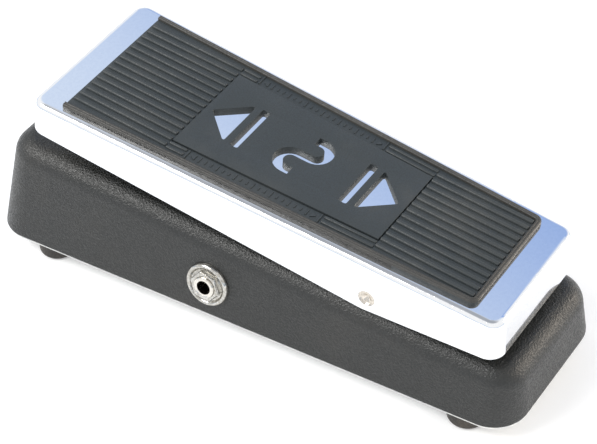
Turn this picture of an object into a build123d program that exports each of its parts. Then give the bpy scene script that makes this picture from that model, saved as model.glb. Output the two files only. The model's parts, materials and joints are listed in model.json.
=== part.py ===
"""Rocker-treadle effects pedal: a cast wedge housing, a chrome rocking treadle and the works between.

Millimetres. +Z is up, +Y points to the toe end, -X is the player's left. The origin is on the floor,
under the middle of the housing. Every piece is a node of its own under parts/.
"""

import os
from math import atan, ceil, cos, pi, radians, sin, sqrt, tan

from build123d import *

# Housing: the outline at its open underside, and how its walls and top lean.
LENGTH = 254.0
TOE_HALF_WIDTH = 51.0
HEEL_HALF_WIDTH = 37.9
OUTLINE_RADIUS = 15.5
WALL = 3.0
SIDE_DRAFT = 0.21
TOE_DRAFT = 0.17
HEEL_DRAFT = 0.07
TOP_HEIGHT = 35.9
TOP_SLOPE = 0.0864
SHOULDER_RADIUS = 9.0

# Feet and bottom plate.
FOOT_HEIGHT = 9.0
FOOT_RADIUS = 8.5
FOOT_TOE = (39.3, 99.5)
FOOT_HEEL = (28.6, -102.9)
PLATE_THICKNESS = 1.2
PLATE_INSET = 0.4
FLOOR_Z = FOOT_HEIGHT + PLATE_THICKNESS
BOSS_RADIUS = 5.0
SCREW_RADIUS = 2.0
SCREW_HOLE_RADIUS = 2.15
SCREW_DEPTH = 15.0
SMALL_SCREW = 1.5
SMALL_SCREW_DEPTH = 5.0
SCREW_HEAD_RADIUS = 3.8
SCREW_HEAD_HEIGHT = 2.4
FOOT_RECESS = 5.0
SLOT_WIDTH = 0.9

# Treadle: its own frame has u across, v towards the toe and w up from the top of the mat.
TILT = 5.9
MAT_Y = -8.0
MAT_Z = FLOOR_Z + 65.1
TREADLE_TOE = 111.0
TREADLE_HEEL = -110.0
TREADLE_HALF_WIDTH = 35.45
TREADLE_TAPER = 0.0335
TREADLE_RADIUS = 6.0
TREADLE_DRAFT = 0.06
TREADLE_HEEL_DRAFT = 0.12
TREADLE_DEPTH = 32.0
TREADLE_EDGE = 3.0
TREADLE_WALL = 3.0
MAT_THICKNESS = 2.5
TREADLE_PLATE = 3.0
UNDERSIDE = -MAT_THICKNESS - TREADLE_PLATE
SKIRT_POINTS = ((TREADLE_TOE, -18.0), (-51.0, -26.7), (-52.2, -26.7), (TREADLE_HEEL, -20.9))
SKIRT_BEND = 4.0

# Tread mat.
MAT_LENGTH = 193.8
MAT_HALF_WIDTH = 31.1
MAT_TAPER = 0.0351
MAT_RADIUS = 3.5
RIM_WIDTH = 2.4
RIB_PITCH = 3.92
RIB_RADIUS = 1.1
RIB_BASE = 1.3
TOE_RIBS = 7
HEEL_RIBS = 6
PANEL_TOE = 48.4
PANEL_HEEL = -48.8
PANEL_HALF_WIDTH = 22.4
PANEL_TAPER = 0.032
PANEL_DEPTH = 0.5
MARK_HALF = 12.5
MARK_BAR = 3.8
MARK_GAP = 3.2
ARROW_LENGTH = 14.0
ARROW_BASE = 31.5
WAVE_RADIUS = 5.2
WAVE_BAND = 4.4
WAVE_RISE = 3.2

# Hinge.
PIN_Y = -59.3
PIN_Z = FLOOR_Z + 39.6
PIN_RADIUS = 3.7
PIN_DISH = 2.2
PIN_RECESS = 0.4
RUNNING_GAP = 0.05
BODY_GAP = 0.3
EAR_INNER = 19.5
EAR_OUTER = 27.5
EAR_RADIUS = 8.0
BUSH_WALL = 1.6
WASHER_THICKNESS = 1.0
TOE_DOWN = 3.5
HEEL_DOWN = 6.5

# Rack and pinion.
RACK_ARM = 42.0
RACK_Y = PIN_Y + RACK_ARM
MODULE = 0.8
PINION_TEETH = 12
PRESSURE_ANGLE = 20.0
PITCH = pi * MODULE
PINION_RADIUS = MODULE * PINION_TEETH / 2
PINION_Z = FLOOR_Z + 14.8
PITCH_LINE = 2.5
PINION_Y = RACK_Y + PITCH_LINE + PINION_RADIUS
BACKLASH = 0.12
RACK_ADDENDUM = 0.5
RACK_DEDENDUM = 1.05
RACK_THICKNESS = 6.0
RACK_BACK = -3.5
RACK_LOW = FLOOR_Z + 3.4
RACK_TOOTH_SPAN = 9.0
RACK_PIN_RADIUS = 1.5
RACK_EYE_PLAY = 0.7
LUG_RADIUS = 4.2
LUG_THICKNESS = 3.0
LUG_GAP = 0.4
GUIDE_DEPTH = 2.6
GUIDE_THICKNESS = 0.4
SLOT_X = 17.0
SLOT_Y = 15.0

# Potentiometer.
POT_RADIUS = 12.0
POT_FACE = 9.5
POT_DEPTH = 9.0
SHAFT_RADIUS = 3.0
SHAFT_END = -4.0
COLLAR_RADIUS = 3.5
BRACKET_THICKNESS = 1.5
BRACKET_TOP = FLOOR_Z + 28.6
BRACKET_SCREW_SPAN = 9.2

# Foot switch: its frame stands on the sloping top.
SWITCH_Y = 80.0
SWITCH_BODY = 17.0
SWITCH_DEPTH = 18.0
SWITCH_COLLAR = 6.0
TAG_PITCH = 4.8
TAG_END = -27.0
PLUNGER_RADIUS = 4.0
PLUNGER_TOP = 12.8
PLUNGER_TRAVEL = 2.5
SWITCH_CLEARANCE = 0.5
TOE_PAD_RADIUS = 9.0

# Heel stops.
STOP_X = 16.0
STOP_Y = -100.0
STOP_PAD_RADIUS = 6.0
STOP_PAD_HEIGHT = 3.0
STOP_POST_RADIUS = 5.0

# Sockets.
JACK_Y = 14.3
JACK_HEIGHT = 14.8
JACK_BORE = 3.22
JACK_COLLAR = 4.75
JACK_MOUTH = 3.7
JACK_TAIL = -9.0
JACK_END = -26.0
JACK_NUT = 12.7
WASHER_RADIUS = 10.1

# Circuit board, battery.
BOARD_X = 21.5
BOARD_TOE = -50.0
BOARD_HEEL = -115.0
BOARD_THICKNESS = 1.6
BOARD_LOW = FLOOR_Z + 13.6
BOARD_SCREW_X = 18.0
BOARD_SCREW_INSET = 4.5
POST_RADIUS = 3.2
BATTERY = (26.5, 48.5, 17.5)
BATTERY_CENTRE = (-25.6, 62.0)
BATTERY_LOW = FLOOR_Z + 2.0
WIRE_RADIUS = 0.7
WIRE_BEND = 14.0
WIRE_Z = FLOOR_Z + 2.2
SOLDER = 0.5

STAND = (Align.CENTER, Align.CENTER, Align.MIN)
TOP_ANGLE = atan(TOP_SLOPE)
SIDE_ANGLE = atan((TOE_HALF_WIDTH - HEEL_HALF_WIDTH) / LENGTH)


# ---------------------------------------------------------------- shapes and frames


def cylinder(radius, low, high):
    """Upright cylinder between two heights."""
    return Pos(0, 0, low) * Cylinder(radius, high - low, align=STAND)


def ring(outer, inner, low, high):
    """Upright tube between two heights."""
    return cylinder(outer, low, high) - cylinder(inner, low - 1, high + 1)


def hexagon(across_flats, low, high):
    """Upright hexagonal bar between two heights."""
    return Pos(0, 0, low) * extrude(RegularPolygon(across_flats / 2, 6, major_radius=False), high - low)


def block(low, high):
    """Box between two corners."""
    size = [b - a for a, b in zip(low, high)]
    return Pos(*low) * Box(*size, align=(Align.MIN, Align.MIN, Align.MIN))


def tapered_face(half_toe, half_heel, toe, heel, radius):
    """Face of a trapezoid that is wider at the toe, with rounded corners."""
    corners = ((half_toe, toe), (-half_toe, toe), (-half_heel, heel), (half_heel, heel))
    face = Polygon(*corners, align=None)
    return fillet(face.vertices(), radius)


def along_x(x, y, z):
    """Frame whose own Z is the row's X."""
    return Plane(origin=(x, y, z), x_dir=(0, 1, 0), z_dir=(1, 0, 0))


def top_z(y):
    """Height of the housing's sloping top above the floor."""
    return FLOOR_Z + TOP_HEIGHT + TOP_SLOPE * y


def on_top(x, y):
    """Frame that stands square on the sloping top."""
    return Plane(origin=(x, y, top_z(y)), x_dir=(1, 0, 0), z_dir=(0, -sin(TOP_ANGLE), cos(TOP_ANGLE)))


TREADLE_FRAME = Location((0, MAT_Y, MAT_Z), (TILT, 0, 0))


def treadle_vw(y, z):
    """Row Y and Z as the treadle's own v and w."""
    a, b, t = y - MAT_Y, z - MAT_Z, radians(TILT)
    return a * cos(t) + b * sin(t), b * cos(t) - a * sin(t)


def turned_about_pin(y, z, angle):
    """A point of the XZ side view after the treadle has turned by an angle, heel down positive."""
    a, b, t = y - PIN_Y, z - PIN_Z, radians(angle)
    return PIN_Y + a * cos(t) - b * sin(t), PIN_Z + a * sin(t) + b * cos(t)


# ---------------------------------------------------------------- housing


def housing_wedge(inset, drop):
    """Drafted wedge: the housing's outer shape, or its cavity when it is inset and lower."""

    def half_width(y, height):
        bottom = TOE_HALF_WIDTH + (y - LENGTH / 2) * tan(SIDE_ANGLE)
        return bottom - (SIDE_DRAFT * height + inset * sqrt(1 + SIDE_DRAFT**2)) / cos(SIDE_ANGLE)

    def end_y(sign, draft, height, slope):
        reach = LENGTH / 2 - inset * sqrt(1 + draft**2) - draft * height
        return sign * reach / (1 + sign * draft * slope)

    top = TOP_HEIGHT - drop
    toe, heel = end_y(1, TOE_DRAFT, 0, 0), end_y(-1, HEEL_DRAFT, 0, 0)
    lower = tapered_face(half_width(toe, 0), half_width(heel, 0), toe, heel, OUTLINE_RADIUS - inset)
    toe, heel = end_y(1, TOE_DRAFT, top, TOP_SLOPE), end_y(-1, HEEL_DRAFT, top, TOP_SLOPE)
    wide = half_width(toe, top + TOP_SLOPE * toe)
    narrow = half_width(heel, top + TOP_SLOPE * heel)
    stretch = 1 / cos(TOP_ANGLE)
    upper = tapered_face(wide, narrow, toe * stretch, heel * stretch, OUTLINE_RADIUS - inset - WALL)
    plane = Plane(
        origin=(0, 0, FLOOR_Z + top), x_dir=(1, 0, 0), z_dir=(0, -sin(TOP_ANGLE), cos(TOP_ANGLE))
    )
    return loft([Pos(0, 0, FLOOR_Z) * lower, plane * upper], ruled=True)


def side_wall_frame(side, y, height):
    """Frame on a side wall's outer face: its Z points squarely out of the wall."""
    bottom = TOE_HALF_WIDTH + (y - LENGTH / 2) * tan(SIDE_ANGLE)
    x = bottom - SIDE_DRAFT * height / cos(SIDE_ANGLE)
    lean = atan(SIDE_DRAFT)
    outwards = (side * cos(SIDE_ANGLE) * cos(lean), -sin(SIDE_ANGLE) * cos(lean), sin(lean))
    return Plane(
        origin=(side * x, y, FLOOR_Z + height),
        x_dir=(side * sin(SIDE_ANGLE), cos(SIDE_ANGLE), 0),
        z_dir=outwards,
    )


def foot_places():
    """The four feet, toe pair first."""
    return [(side * x, y) for x, y in (FOOT_TOE, FOOT_HEEL) for side in (-1, 1)]


def board_screw_places():
    """The four screws of the circuit board."""
    ends = (BOARD_TOE - BOARD_SCREW_INSET, BOARD_HEEL + BOARD_SCREW_INSET)
    return [(side * BOARD_SCREW_X, y) for y in ends for side in (-1, 1)]


def bracket_screw_places():
    """The two screws of the potentiometer's bracket."""
    return [(POT_FACE + 4.5, PINION_Y + side * BRACKET_SCREW_SPAN) for side in (-1, 1)]


def hinge_ear(side):
    """Upright ear that carries one end of the hinge pin."""
    foot = top_z(PIN_Y) - WALL
    profile = Polygon(
        (PIN_Y - EAR_RADIUS - 1, foot),
        (PIN_Y + EAR_RADIUS + 1, foot),
        (PIN_Y + EAR_RADIUS, PIN_Z),
        (PIN_Y - EAR_RADIUS, PIN_Z),
        align=None,
    )
    x = EAR_INNER if side > 0 else -EAR_OUTER
    plate = along_x(x, 0, 0) * extrude(profile, EAR_OUTER - EAR_INNER)
    return plate + along_x(x, PIN_Y, PIN_Z) * cylinder(EAR_RADIUS, 0, EAR_OUTER - EAR_INNER)


def housing():
    """Cast housing: drafted shell with ears, bosses and openings."""
    outer = housing_wedge(0, 0)
    rim = outer.faces().sort_by(Axis.Z)[-1].edges()
    outer = fillet(rim, SHOULDER_RADIUS)
    cavity = housing_wedge(WALL, WALL)
    inner_rim = cavity.faces().sort_by(Axis.Z)[-1].edges()
    shell = outer - fillet(inner_rim, SHOULDER_RADIUS - WALL)
    posts = Part()
    for x, y in foot_places():
        posts += Pos(x, y, 0) * cylinder(BOSS_RADIUS, FLOOR_Z, top_z(y))
    for x, y in board_screw_places():
        posts += Pos(x, y, 0) * cylinder(POST_RADIUS, BOARD_LOW + BOARD_THICKNESS, top_z(y))
    for x, y in bracket_screw_places():
        posts += Pos(x, y, 0) * cylinder(POST_RADIUS, BRACKET_TOP, top_z(y))
    x, y = BATTERY_CENTRE
    posts += Pos(x, y, 0) * cylinder(POST_RADIUS + 1, clip_top(), top_z(y))
    shell += posts & outer
    for side in (-1, 1):
        shell += hinge_ear(side)
        shell -= along_x(side * (EAR_INNER + EAR_OUTER) / 2, PIN_Y, PIN_Z) * Cylinder(
            PIN_RADIUS + RUNNING_GAP + BUSH_WALL, 2 * WALL + EAR_OUTER - EAR_INNER
        )
        shell -= side_wall_frame(side, JACK_Y, JACK_HEIGHT) * cylinder(JACK_COLLAR, -2 * WALL, WALL)
    for x, y in foot_places():
        shell -= Pos(x, y, 0) * cylinder(SCREW_RADIUS, FLOOR_Z - 1, FLOOR_Z + SCREW_DEPTH + 1)
    for x, y in board_screw_places():
        low = BOARD_LOW + BOARD_THICKNESS
        shell -= Pos(x, y, 0) * cylinder(SMALL_SCREW, low - 1, low + SMALL_SCREW_DEPTH)
    for x, y in bracket_screw_places():
        shell -= Pos(x, y, 0) * cylinder(SMALL_SCREW, BRACKET_TOP - 1, BRACKET_TOP + SMALL_SCREW_DEPTH)
    x, y = BATTERY_CENTRE
    shell -= Pos(x, y, 0) * cylinder(SMALL_SCREW, clip_top() - 1, clip_top() + SMALL_SCREW_DEPTH)
    slot = Pos(0, RACK_Y, top_z(RACK_Y)) * Box(SLOT_X, SLOT_Y, 4 * WALL)
    shell -= fillet(slot.edges().filter_by(Axis.Z), 2.0)
    shell -= on_top(0, SWITCH_Y) * cylinder(SWITCH_COLLAR, -2 * WALL, WALL)
    return shell


def bottom_plate():
    """Pressed steel plate that closes the housing."""
    inset = PLATE_INSET
    face = tapered_face(
        TOE_HALF_WIDTH - inset, HEEL_HALF_WIDTH - inset, LENGTH / 2 - inset, inset - LENGTH / 2,
        OUTLINE_RADIUS - inset,
    )
    plate = Pos(0, 0, FOOT_HEIGHT) * extrude(face, PLATE_THICKNESS)
    for x, y in foot_places():
        plate -= Pos(x, y, 0) * cylinder(SCREW_HOLE_RADIUS, 0, 2 * FLOOR_Z)
    return plate


def foot():
    """Rubber foot with a recess for its screw's head."""
    body = cylinder(FOOT_RADIUS, 0, FOOT_HEIGHT)
    lower = body.edges().filter_by(GeomType.CIRCLE).sort_by(Axis.Z)[0]
    body = fillet(lower, 2.0)
    body -= cylinder(SCREW_HEAD_RADIUS + 0.3, -1, FOOT_RECESS)
    return body - cylinder(SCREW_HOLE_RADIUS, 0, 2 * FOOT_HEIGHT)


def slotted_screw(head_radius, head_height, shank_radius, length):
    """Cheese-head screw that points up: its head's seat is at height 0."""
    screw = cylinder(head_radius, -head_height, 0) + cylinder(shank_radius, -0.5, length)
    return screw - Pos(0, 0, -head_height) * Box(2 * head_radius + 1, SLOT_WIDTH, head_height)


def feet():
    """Four rubber feet."""
    return [Pos(x, y, 0) * foot() for x, y in foot_places()]


def foot_screws():
    """Four screws through feet and bottom plate into the housing's bosses."""
    length = FLOOR_Z - FOOT_RECESS + SCREW_DEPTH
    screw = slotted_screw(SCREW_HEAD_RADIUS, SCREW_HEAD_HEIGHT, SCREW_RADIUS, length)
    return [Pos(x, y, FOOT_RECESS) * screw for x, y in foot_places()]


# ---------------------------------------------------------------- treadle


def treadle_half(v):
    """Half width of the treadle at v."""
    return TREADLE_HALF_WIDTH + TREADLE_TAPER * v


def treadle_out(v, w):
    """Half width of the treadle at v, at the depth w of its drafted side wall."""
    return treadle_half(v) - TREADLE_DRAFT * (w + MAT_THICKNESS)


def treadle_block(inset, low, high):
    """Drafted block with the treadle's outline, inset, between two depths."""
    sections = []
    for w in (low, high):
        spread = -MAT_THICKNESS - w
        toe = TREADLE_TOE - inset + TREADLE_DRAFT * spread
        heel = TREADLE_HEEL + inset - TREADLE_HEEL_DRAFT * spread
        face = tapered_face(
            treadle_out(TREADLE_TOE, w) - inset, treadle_out(TREADLE_HEEL, w) - inset,
            toe, heel, TREADLE_RADIUS - inset + TREADLE_DRAFT * spread,
        )
        sections.append(Pos(0, 0, w) * face)
    return loft(sections, ruled=True)


def treadle():
    """Plated treadle casting: top plate, V-edged skirt, hinge bosses, rack lugs and heel stops."""
    shell = treadle_block(0, -TREADLE_DEPTH, -MAT_THICKNESS)
    shell = fillet(shell.faces().sort_by(Axis.Z)[-1].edges(), TREADLE_EDGE)
    pocket = treadle_block(TREADLE_WALL, -TREADLE_DEPTH - 1, UNDERSIDE)
    pocket = fillet(pocket.faces().sort_by(Axis.Z)[-1].edges(), TREADLE_WALL / 2)
    shell -= pocket
    pin_v, pin_w = treadle_vw(PIN_Y, PIN_Z)
    boss_inner = EAR_OUTER + BODY_GAP + WASHER_THICKNESS
    for side in (-1, 1):
        reach = treadle_out(pin_v, pin_w) - TREADLE_WALL / 2 - boss_inner
        x = boss_inner if side > 0 else -boss_inner - reach
        boss = along_x(x, pin_v, pin_w) * cylinder(PIN_RADIUS + 3, 0, reach)
        web = block((x, pin_v - 2, pin_w), (x + reach, pin_v + 2, UNDERSIDE + 0.5))
        shell += boss + web
    (v0, w0), (v1, w1), (v2, w2), (v3, w3) = SKIRT_POINTS
    below = Polygon(
        (v0 + 9, -TREADLE_DEPTH - 9), (v0 + 9, w0 + 9 * (w0 - w1) / (v0 - v1)), (v1, w1), (v2, w2),
        (v3 - 9, w3 - 9 * (w3 - w2) / (v3 - v2)), (v3 - 9, -TREADLE_DEPTH - 9), align=None,
    )
    bends = [p for p in below.vertices() if v3 < p.X < v0]
    below = fillet(bends, SKIRT_BEND)
    shell -= along_x(-2 * TOE_HALF_WIDTH, 0, 0) * extrude(below, 4 * TOE_HALF_WIDTH)
    lug_v, lug_w = treadle_vw(RACK_Y, PIN_Z)
    for side in (-1, 1):
        inner = RACK_THICKNESS / 2 + LUG_GAP
        x = inner if side > 0 else -inner - LUG_THICKNESS
        lug = along_x(x, lug_v, lug_w) * cylinder(LUG_RADIUS, 0, LUG_THICKNESS)
        lug += block((x, lug_v - LUG_RADIUS, lug_w), (x + LUG_THICKNESS, lug_v + LUG_RADIUS, UNDERSIDE + 0.5))
        shell += lug
        v, w = treadle_vw(STOP_Y, stop_post_low())
        shell += Pos(side * STOP_X, v, 0) * cylinder(STOP_POST_RADIUS, w, UNDERSIDE + 0.5)
    shell -= along_x(-2 * TOE_HALF_WIDTH, pin_v, pin_w) * cylinder(PIN_RADIUS, 0, 4 * TOE_HALF_WIDTH)
    shell -= along_x(-LUG_RADIUS * 4, lug_v, lug_w) * cylinder(RACK_PIN_RADIUS, 0, LUG_RADIUS * 8)
    return TREADLE_FRAME * shell


def stop_post_low():
    """Row height of the heel stop posts' ends at rest, so that they just clear the pads when heel down."""
    pad_top = top_z(STOP_Y) + STOP_PAD_HEIGHT + BODY_GAP
    lean = STOP_POST_RADIUS * (TOP_SLOPE + tan(radians(HEEL_DOWN)))
    y, z = turned_about_pin(STOP_Y, pad_top + lean, -HEEL_DOWN)
    return z


def tread_mat():
    """Rubber mat: ribs at both ends, a smooth panel with three cut-outs, and a raised rim."""
    base_w = -MAT_THICKNESS + RIB_BASE
    half = MAT_LENGTH / 2

    def outline(inset):
        return tapered_face(
            MAT_HALF_WIDTH + MAT_TAPER * half - inset, MAT_HALF_WIDTH - MAT_TAPER * half - inset,
            half - inset, inset - half, MAT_RADIUS - inset,
        )

    mat = Pos(0, 0, -MAT_THICKNESS) * extrude(outline(0), MAT_THICKNESS)
    toe_width = 2 * (MAT_HALF_WIDTH + MAT_TAPER * half - RIM_WIDTH)
    toe_open = Pos(0, half) * Rectangle(toe_width, 2 * RIM_WIDTH + 2)
    field = outline(RIM_WIDTH) + (toe_open & outline(0))
    mat -= Pos(0, 0, base_w) * extrude(field, MAT_THICKNESS)
    limit = Pos(0, 0, -MAT_THICKNESS) * extrude(outline(RIM_WIDTH / 2), MAT_THICKNESS)
    ribs = Part()
    for count, start, end in ((TOE_RIBS, PANEL_TOE, half), (HEEL_RIBS, -half, PANEL_HEEL)):
        for k in range(-count, count + 1):
            rib = Pos(k * RIB_PITCH, start, base_w) * Rot(-90, 0, 0) * Cylinder(
                RIB_RADIUS, end - start, align=STAND
            )
            ribs += rib
    mat += ribs & limit
    panel_low, panel_high = PANEL_HEEL, PANEL_TOE
    panel = Polygon(
        (PANEL_HALF_WIDTH + PANEL_TAPER * panel_high, panel_high),
        (-PANEL_HALF_WIDTH - PANEL_TAPER * panel_high, panel_high),
        (-PANEL_HALF_WIDTH - PANEL_TAPER * panel_low, panel_low),
        (PANEL_HALF_WIDTH + PANEL_TAPER * panel_low, panel_low),
        align=None,
    )
    mat += Pos(0, 0, -MAT_THICKNESS) * extrude(panel, MAT_THICKNESS - PANEL_DEPTH)
    for cut in mat_cutouts():
        mat -= extrude(cut, 2 * MAT_THICKNESS, both=True)
    return TREADLE_FRAME * mat


def arrow_mark(direction):
    """Arrowhead with a bar behind it, pointing to the toe or to the heel."""
    base = direction * ARROW_BASE
    head = Polygon((-MARK_HALF, base), (MARK_HALF, base), (0, base + direction * ARROW_LENGTH), align=None)
    bar = Pos(0, base - direction * (MARK_GAP + MARK_BAR / 2)) * Rectangle(2 * MARK_HALF, MARK_BAR)
    return fillet(head.vertices(), 0.8) + fillet(bar.vertices(), 0.8)


def wave_mark():
    """One period of a wave as a band of even width."""
    outer, inner = WAVE_RADIUS + WAVE_BAND / 2, WAVE_RADIUS - WAVE_BAND / 2
    mark = Sketch()
    for side in (-1, 1):
        bend = Circle(outer) - Circle(inner)
        bend &= Pos(0, -side * outer) * Rectangle(4 * outer, 2 * outer)
        mark += Pos(side * WAVE_RADIUS, -side * WAVE_RISE) * bend
        end = Pos(side * 2 * WAVE_RADIUS, -side * WAVE_RISE / 2) * Rectangle(WAVE_BAND, WAVE_RISE)
        mark += end
    return mark + Rectangle(WAVE_BAND, 2 * WAVE_RISE)


def mat_cutouts():
    """The three openings through the mat's panel."""
    return [arrow_mark(1), wave_mark(), arrow_mark(-1)]


def toe_pad():
    """Rubber pad under the treadle that meets the foot switch."""
    plane = on_top(0, SWITCH_Y)
    tip = plane.origin + plane.z_dir * (PLUNGER_TOP + SWITCH_CLEARANCE)
    v, w = treadle_vw(*turned_about_pin(tip.Y, tip.Z, TOE_DOWN))
    return TREADLE_FRAME * Pos(0, v, 0) * cylinder(TOE_PAD_RADIUS, w, UNDERSIDE)


def heel_pads():
    """Two rubber pads on the housing under the treadle's heel stops."""
    pad = cylinder(STOP_PAD_RADIUS, 0, STOP_PAD_HEIGHT)
    return [on_top(side * STOP_X, STOP_Y) * pad for side in (-1, 1)]


# ---------------------------------------------------------------- hinge


def hinge_pin():
    """Steel pin with dished ends, flush with the skirt."""
    half = treadle_out(*treadle_vw(PIN_Y, PIN_Z)) - PIN_RECESS
    pin = along_x(-half, PIN_Y, PIN_Z) * cylinder(PIN_RADIUS, 0, 2 * half)
    for side in (-1, 1):
        dish = Cone(PIN_DISH, PIN_DISH / 4, PIN_DISH / 2, align=STAND)
        frame = Plane(origin=(side * half, PIN_Y, PIN_Z), x_dir=(0, 1, 0), z_dir=(-side, 0, 0))
        pin -= frame * dish
    return pin


def hinge_bushes():
    """Two flanged bushes in the ears."""
    inner, outer = PIN_RADIUS + RUNNING_GAP, PIN_RADIUS + RUNNING_GAP + BUSH_WALL
    bush = ring(outer, inner, 0, EAR_OUTER - EAR_INNER) + ring(outer + 1.5, inner, -1, 0)
    places = []
    for side in (-1, 1):
        frame = Plane(origin=(side * EAR_INNER, PIN_Y, PIN_Z), x_dir=(0, 1, 0), z_dir=(side, 0, 0))
        places.append(frame * bush)
    return places


def friction_washers():
    """Two nylon washers between ears and treadle."""
    washer = ring(PIN_RADIUS + 3, PIN_RADIUS, 0, WASHER_THICKNESS)
    places = []
    for side in (-1, 1):
        x = side * (EAR_OUTER + BODY_GAP)
        frame = Plane(origin=(x, PIN_Y, PIN_Z), x_dir=(0, 1, 0), z_dir=(side, 0, 0))
        places.append(frame * washer)
    return places


# ---------------------------------------------------------------- rack and pinion


def rack():
    """Toothed strip with an eye at its top."""
    root = PITCH_LINE - RACK_DEDENDUM
    tip = PITCH_LINE + RACK_ADDENDUM
    flank = tan(radians(PRESSURE_ANGLE))
    body = block(
        (-RACK_THICKNESS / 2, RACK_Y + RACK_BACK, RACK_LOW), (RACK_THICKNESS / 2, RACK_Y + root, PIN_Z)
    )
    thickness = PITCH / 2 - BACKLASH
    count = ceil(RACK_TOOTH_SPAN / PITCH)
    for k in range(-count, count):
        z = PINION_Z + (k + 0.5) * PITCH
        low = thickness / 2 + RACK_DEDENDUM * flank
        high = thickness / 2 - RACK_ADDENDUM * flank
        tooth = Polygon((root - 0.2, z - low), (root, z - low), (tip, z - high), (tip, z + high),
                        (root, z + low), (root - 0.2, z + low), align=None)
        body += along_x(-RACK_THICKNESS / 2, RACK_Y, 0) * extrude(tooth, RACK_THICKNESS)
    eye_centre = along_x(-RACK_THICKNESS / 2, RACK_Y, PIN_Z)
    body += eye_centre * cylinder(LUG_RADIUS, 0, RACK_THICKNESS)
    hole = SlotCenterToCenter(RACK_EYE_PLAY, 2 * (RACK_PIN_RADIUS + RUNNING_GAP))
    return body - Pos(0, RACK_Y, PIN_Z) * (Plane.YZ * extrude(hole, RACK_THICKNESS, both=True))


def rack_pin():
    """Cross pin through the treadle's lugs and the rack's eye."""
    half = RACK_THICKNESS / 2 + LUG_GAP + LUG_THICKNESS
    pin = along_x(-half, RACK_Y, PIN_Z) * cylinder(RACK_PIN_RADIUS, 0, 2 * half)
    heads = Part()
    for side in (-1, 1):
        frame = Plane(origin=(side * half, RACK_Y, PIN_Z), x_dir=(0, 1, 0), z_dir=(side, 0, 0))
        heads += frame * cylinder(RACK_PIN_RADIUS + 0.9, 0, 0.8)
    return pin + heads


def pinion_face():
    """Involute pinion outline, with a tooth pointing along its own -X."""
    base = PINION_RADIUS * cos(radians(PRESSURE_ANGLE))
    tip, root = PINION_RADIUS + MODULE, PINION_RADIUS - 1.25 * MODULE
    thickness = PITCH / 2 - BACKLASH
    involute = tan(radians(PRESSURE_ANGLE)) - radians(PRESSURE_ANGLE)
    half_base = thickness / 2 / PINION_RADIUS + involute
    steps = 5
    flank = [(root, half_base)]
    for i in range(steps + 1):
        radius = base + (tip - base) * i / steps
        roll = sqrt(max(0.0, (radius / base) ** 2 - 1))
        flank.append((radius, half_base - (roll - atan(roll))))
    points = []
    for tooth in range(PINION_TEETH):
        centre = pi + tooth * 2 * pi / PINION_TEETH
        points += [(r * cos(centre - a), r * sin(centre - a)) for r, a in flank]
        points += [(r * cos(centre + a), r * sin(centre + a)) for r, a in reversed(flank)]
    return Polygon(*points, align=None)


def pinion_shaft():
    """The potentiometer's turning shaft."""
    shaft = along_x(SHAFT_END, PINION_Y, PINION_Z) * cylinder(SHAFT_RADIUS, 0, POT_FACE + 3 - SHAFT_END)
    return shaft


def pinion():
    """Nylon pinion on the shaft."""
    gear = extrude(pinion_face(), 8.0) - cylinder(SHAFT_RADIUS, -1, 9)
    return along_x(SHAFT_END, PINION_Y, PINION_Z) * gear


def pot_case():
    """Potentiometer: round can, threaded collar and three tags."""
    can = cylinder(POT_RADIUS, 0, POT_DEPTH)
    rear = can.edges().filter_by(GeomType.CIRCLE).sort_by(Axis.Z)[-1]
    can = fillet(rear, 1.2)
    can += cylinder(COLLAR_RADIUS, -4.5, 0)
    tags = block((-POT_RADIUS - 5, -6, 0.6), (-POT_RADIUS + 2, 6, 2.2))
    can += tags
    can -= cylinder(SHAFT_RADIUS + RUNNING_GAP, -5, 3 + BODY_GAP)
    upright = Plane(origin=(POT_FACE, PINION_Y, PINION_Z), x_dir=(0, 1, 0), z_dir=(1, 0, 0))
    return upright * can


def pot_nut():
    """Nut that holds the potentiometer to its bracket."""
    nut = hexagon(10.0, 0, 2.0) - cylinder(COLLAR_RADIUS, -1, 3)
    return along_x(POT_FACE - BRACKET_THICKNESS - 2.0, PINION_Y, PINION_Z) * nut


def pot_bracket():
    """Bent steel bracket: hangs from two bosses, holds the potentiometer and backs the rack."""
    t = BRACKET_THICKNESS
    low_y, high_y = RACK_Y + RACK_BACK - GUIDE_DEPTH - t, PINION_Y + 13
    plate = block((POT_FACE - t, low_y, PINION_Z - 8), (POT_FACE, high_y, BRACKET_TOP))
    flange = block((POT_FACE - t, PINION_Y - 13, BRACKET_TOP - t), (POT_FACE + 9, high_y, BRACKET_TOP))
    back = block((-5, low_y, PINION_Z - 8), (POT_FACE, low_y + t, PINION_Z + 9))
    bracket = plate + flange + back
    bracket -= along_x(POT_FACE - 2 * t, PINION_Y, PINION_Z) * cylinder(COLLAR_RADIUS, 0, 4 * t)
    for x, y in bracket_screw_places():
        bracket -= Pos(x, y, 0) * cylinder(SMALL_SCREW, 0, top_z(y))
    return bracket


def rack_guide():
    """Bowed spring leaf between the bracket's back and the rack."""
    back = RACK_Y + RACK_BACK - GUIDE_DEPTH
    crown = RACK_Y + RACK_BACK - 0.1
    low, high = PINION_Z - 7, PINION_Z + 7
    leaf = GUIDE_THICKNESS
    outer = ThreePointArc((back + leaf, low), (crown, PINION_Z), (back + leaf, high))
    inner = ThreePointArc((back, low), (crown - leaf, PINION_Z), (back, high))
    face = make_face(
        [outer, inner, Line((back + leaf, low), (back, low)), Line((back + leaf, high), (back, high))]
    )
    return along_x(-RACK_THICKNESS / 2, 0, 0) * extrude(face, RACK_THICKNESS)


def bracket_screws():
    """Two screws that hold the bracket."""
    screw = slotted_screw(2.6, 1.6, SMALL_SCREW, BRACKET_THICKNESS + SMALL_SCREW_DEPTH - 0.5)
    return [Pos(x, y, BRACKET_TOP - BRACKET_THICKNESS) * screw for x, y in bracket_screw_places()]


# ---------------------------------------------------------------- foot switch


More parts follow.
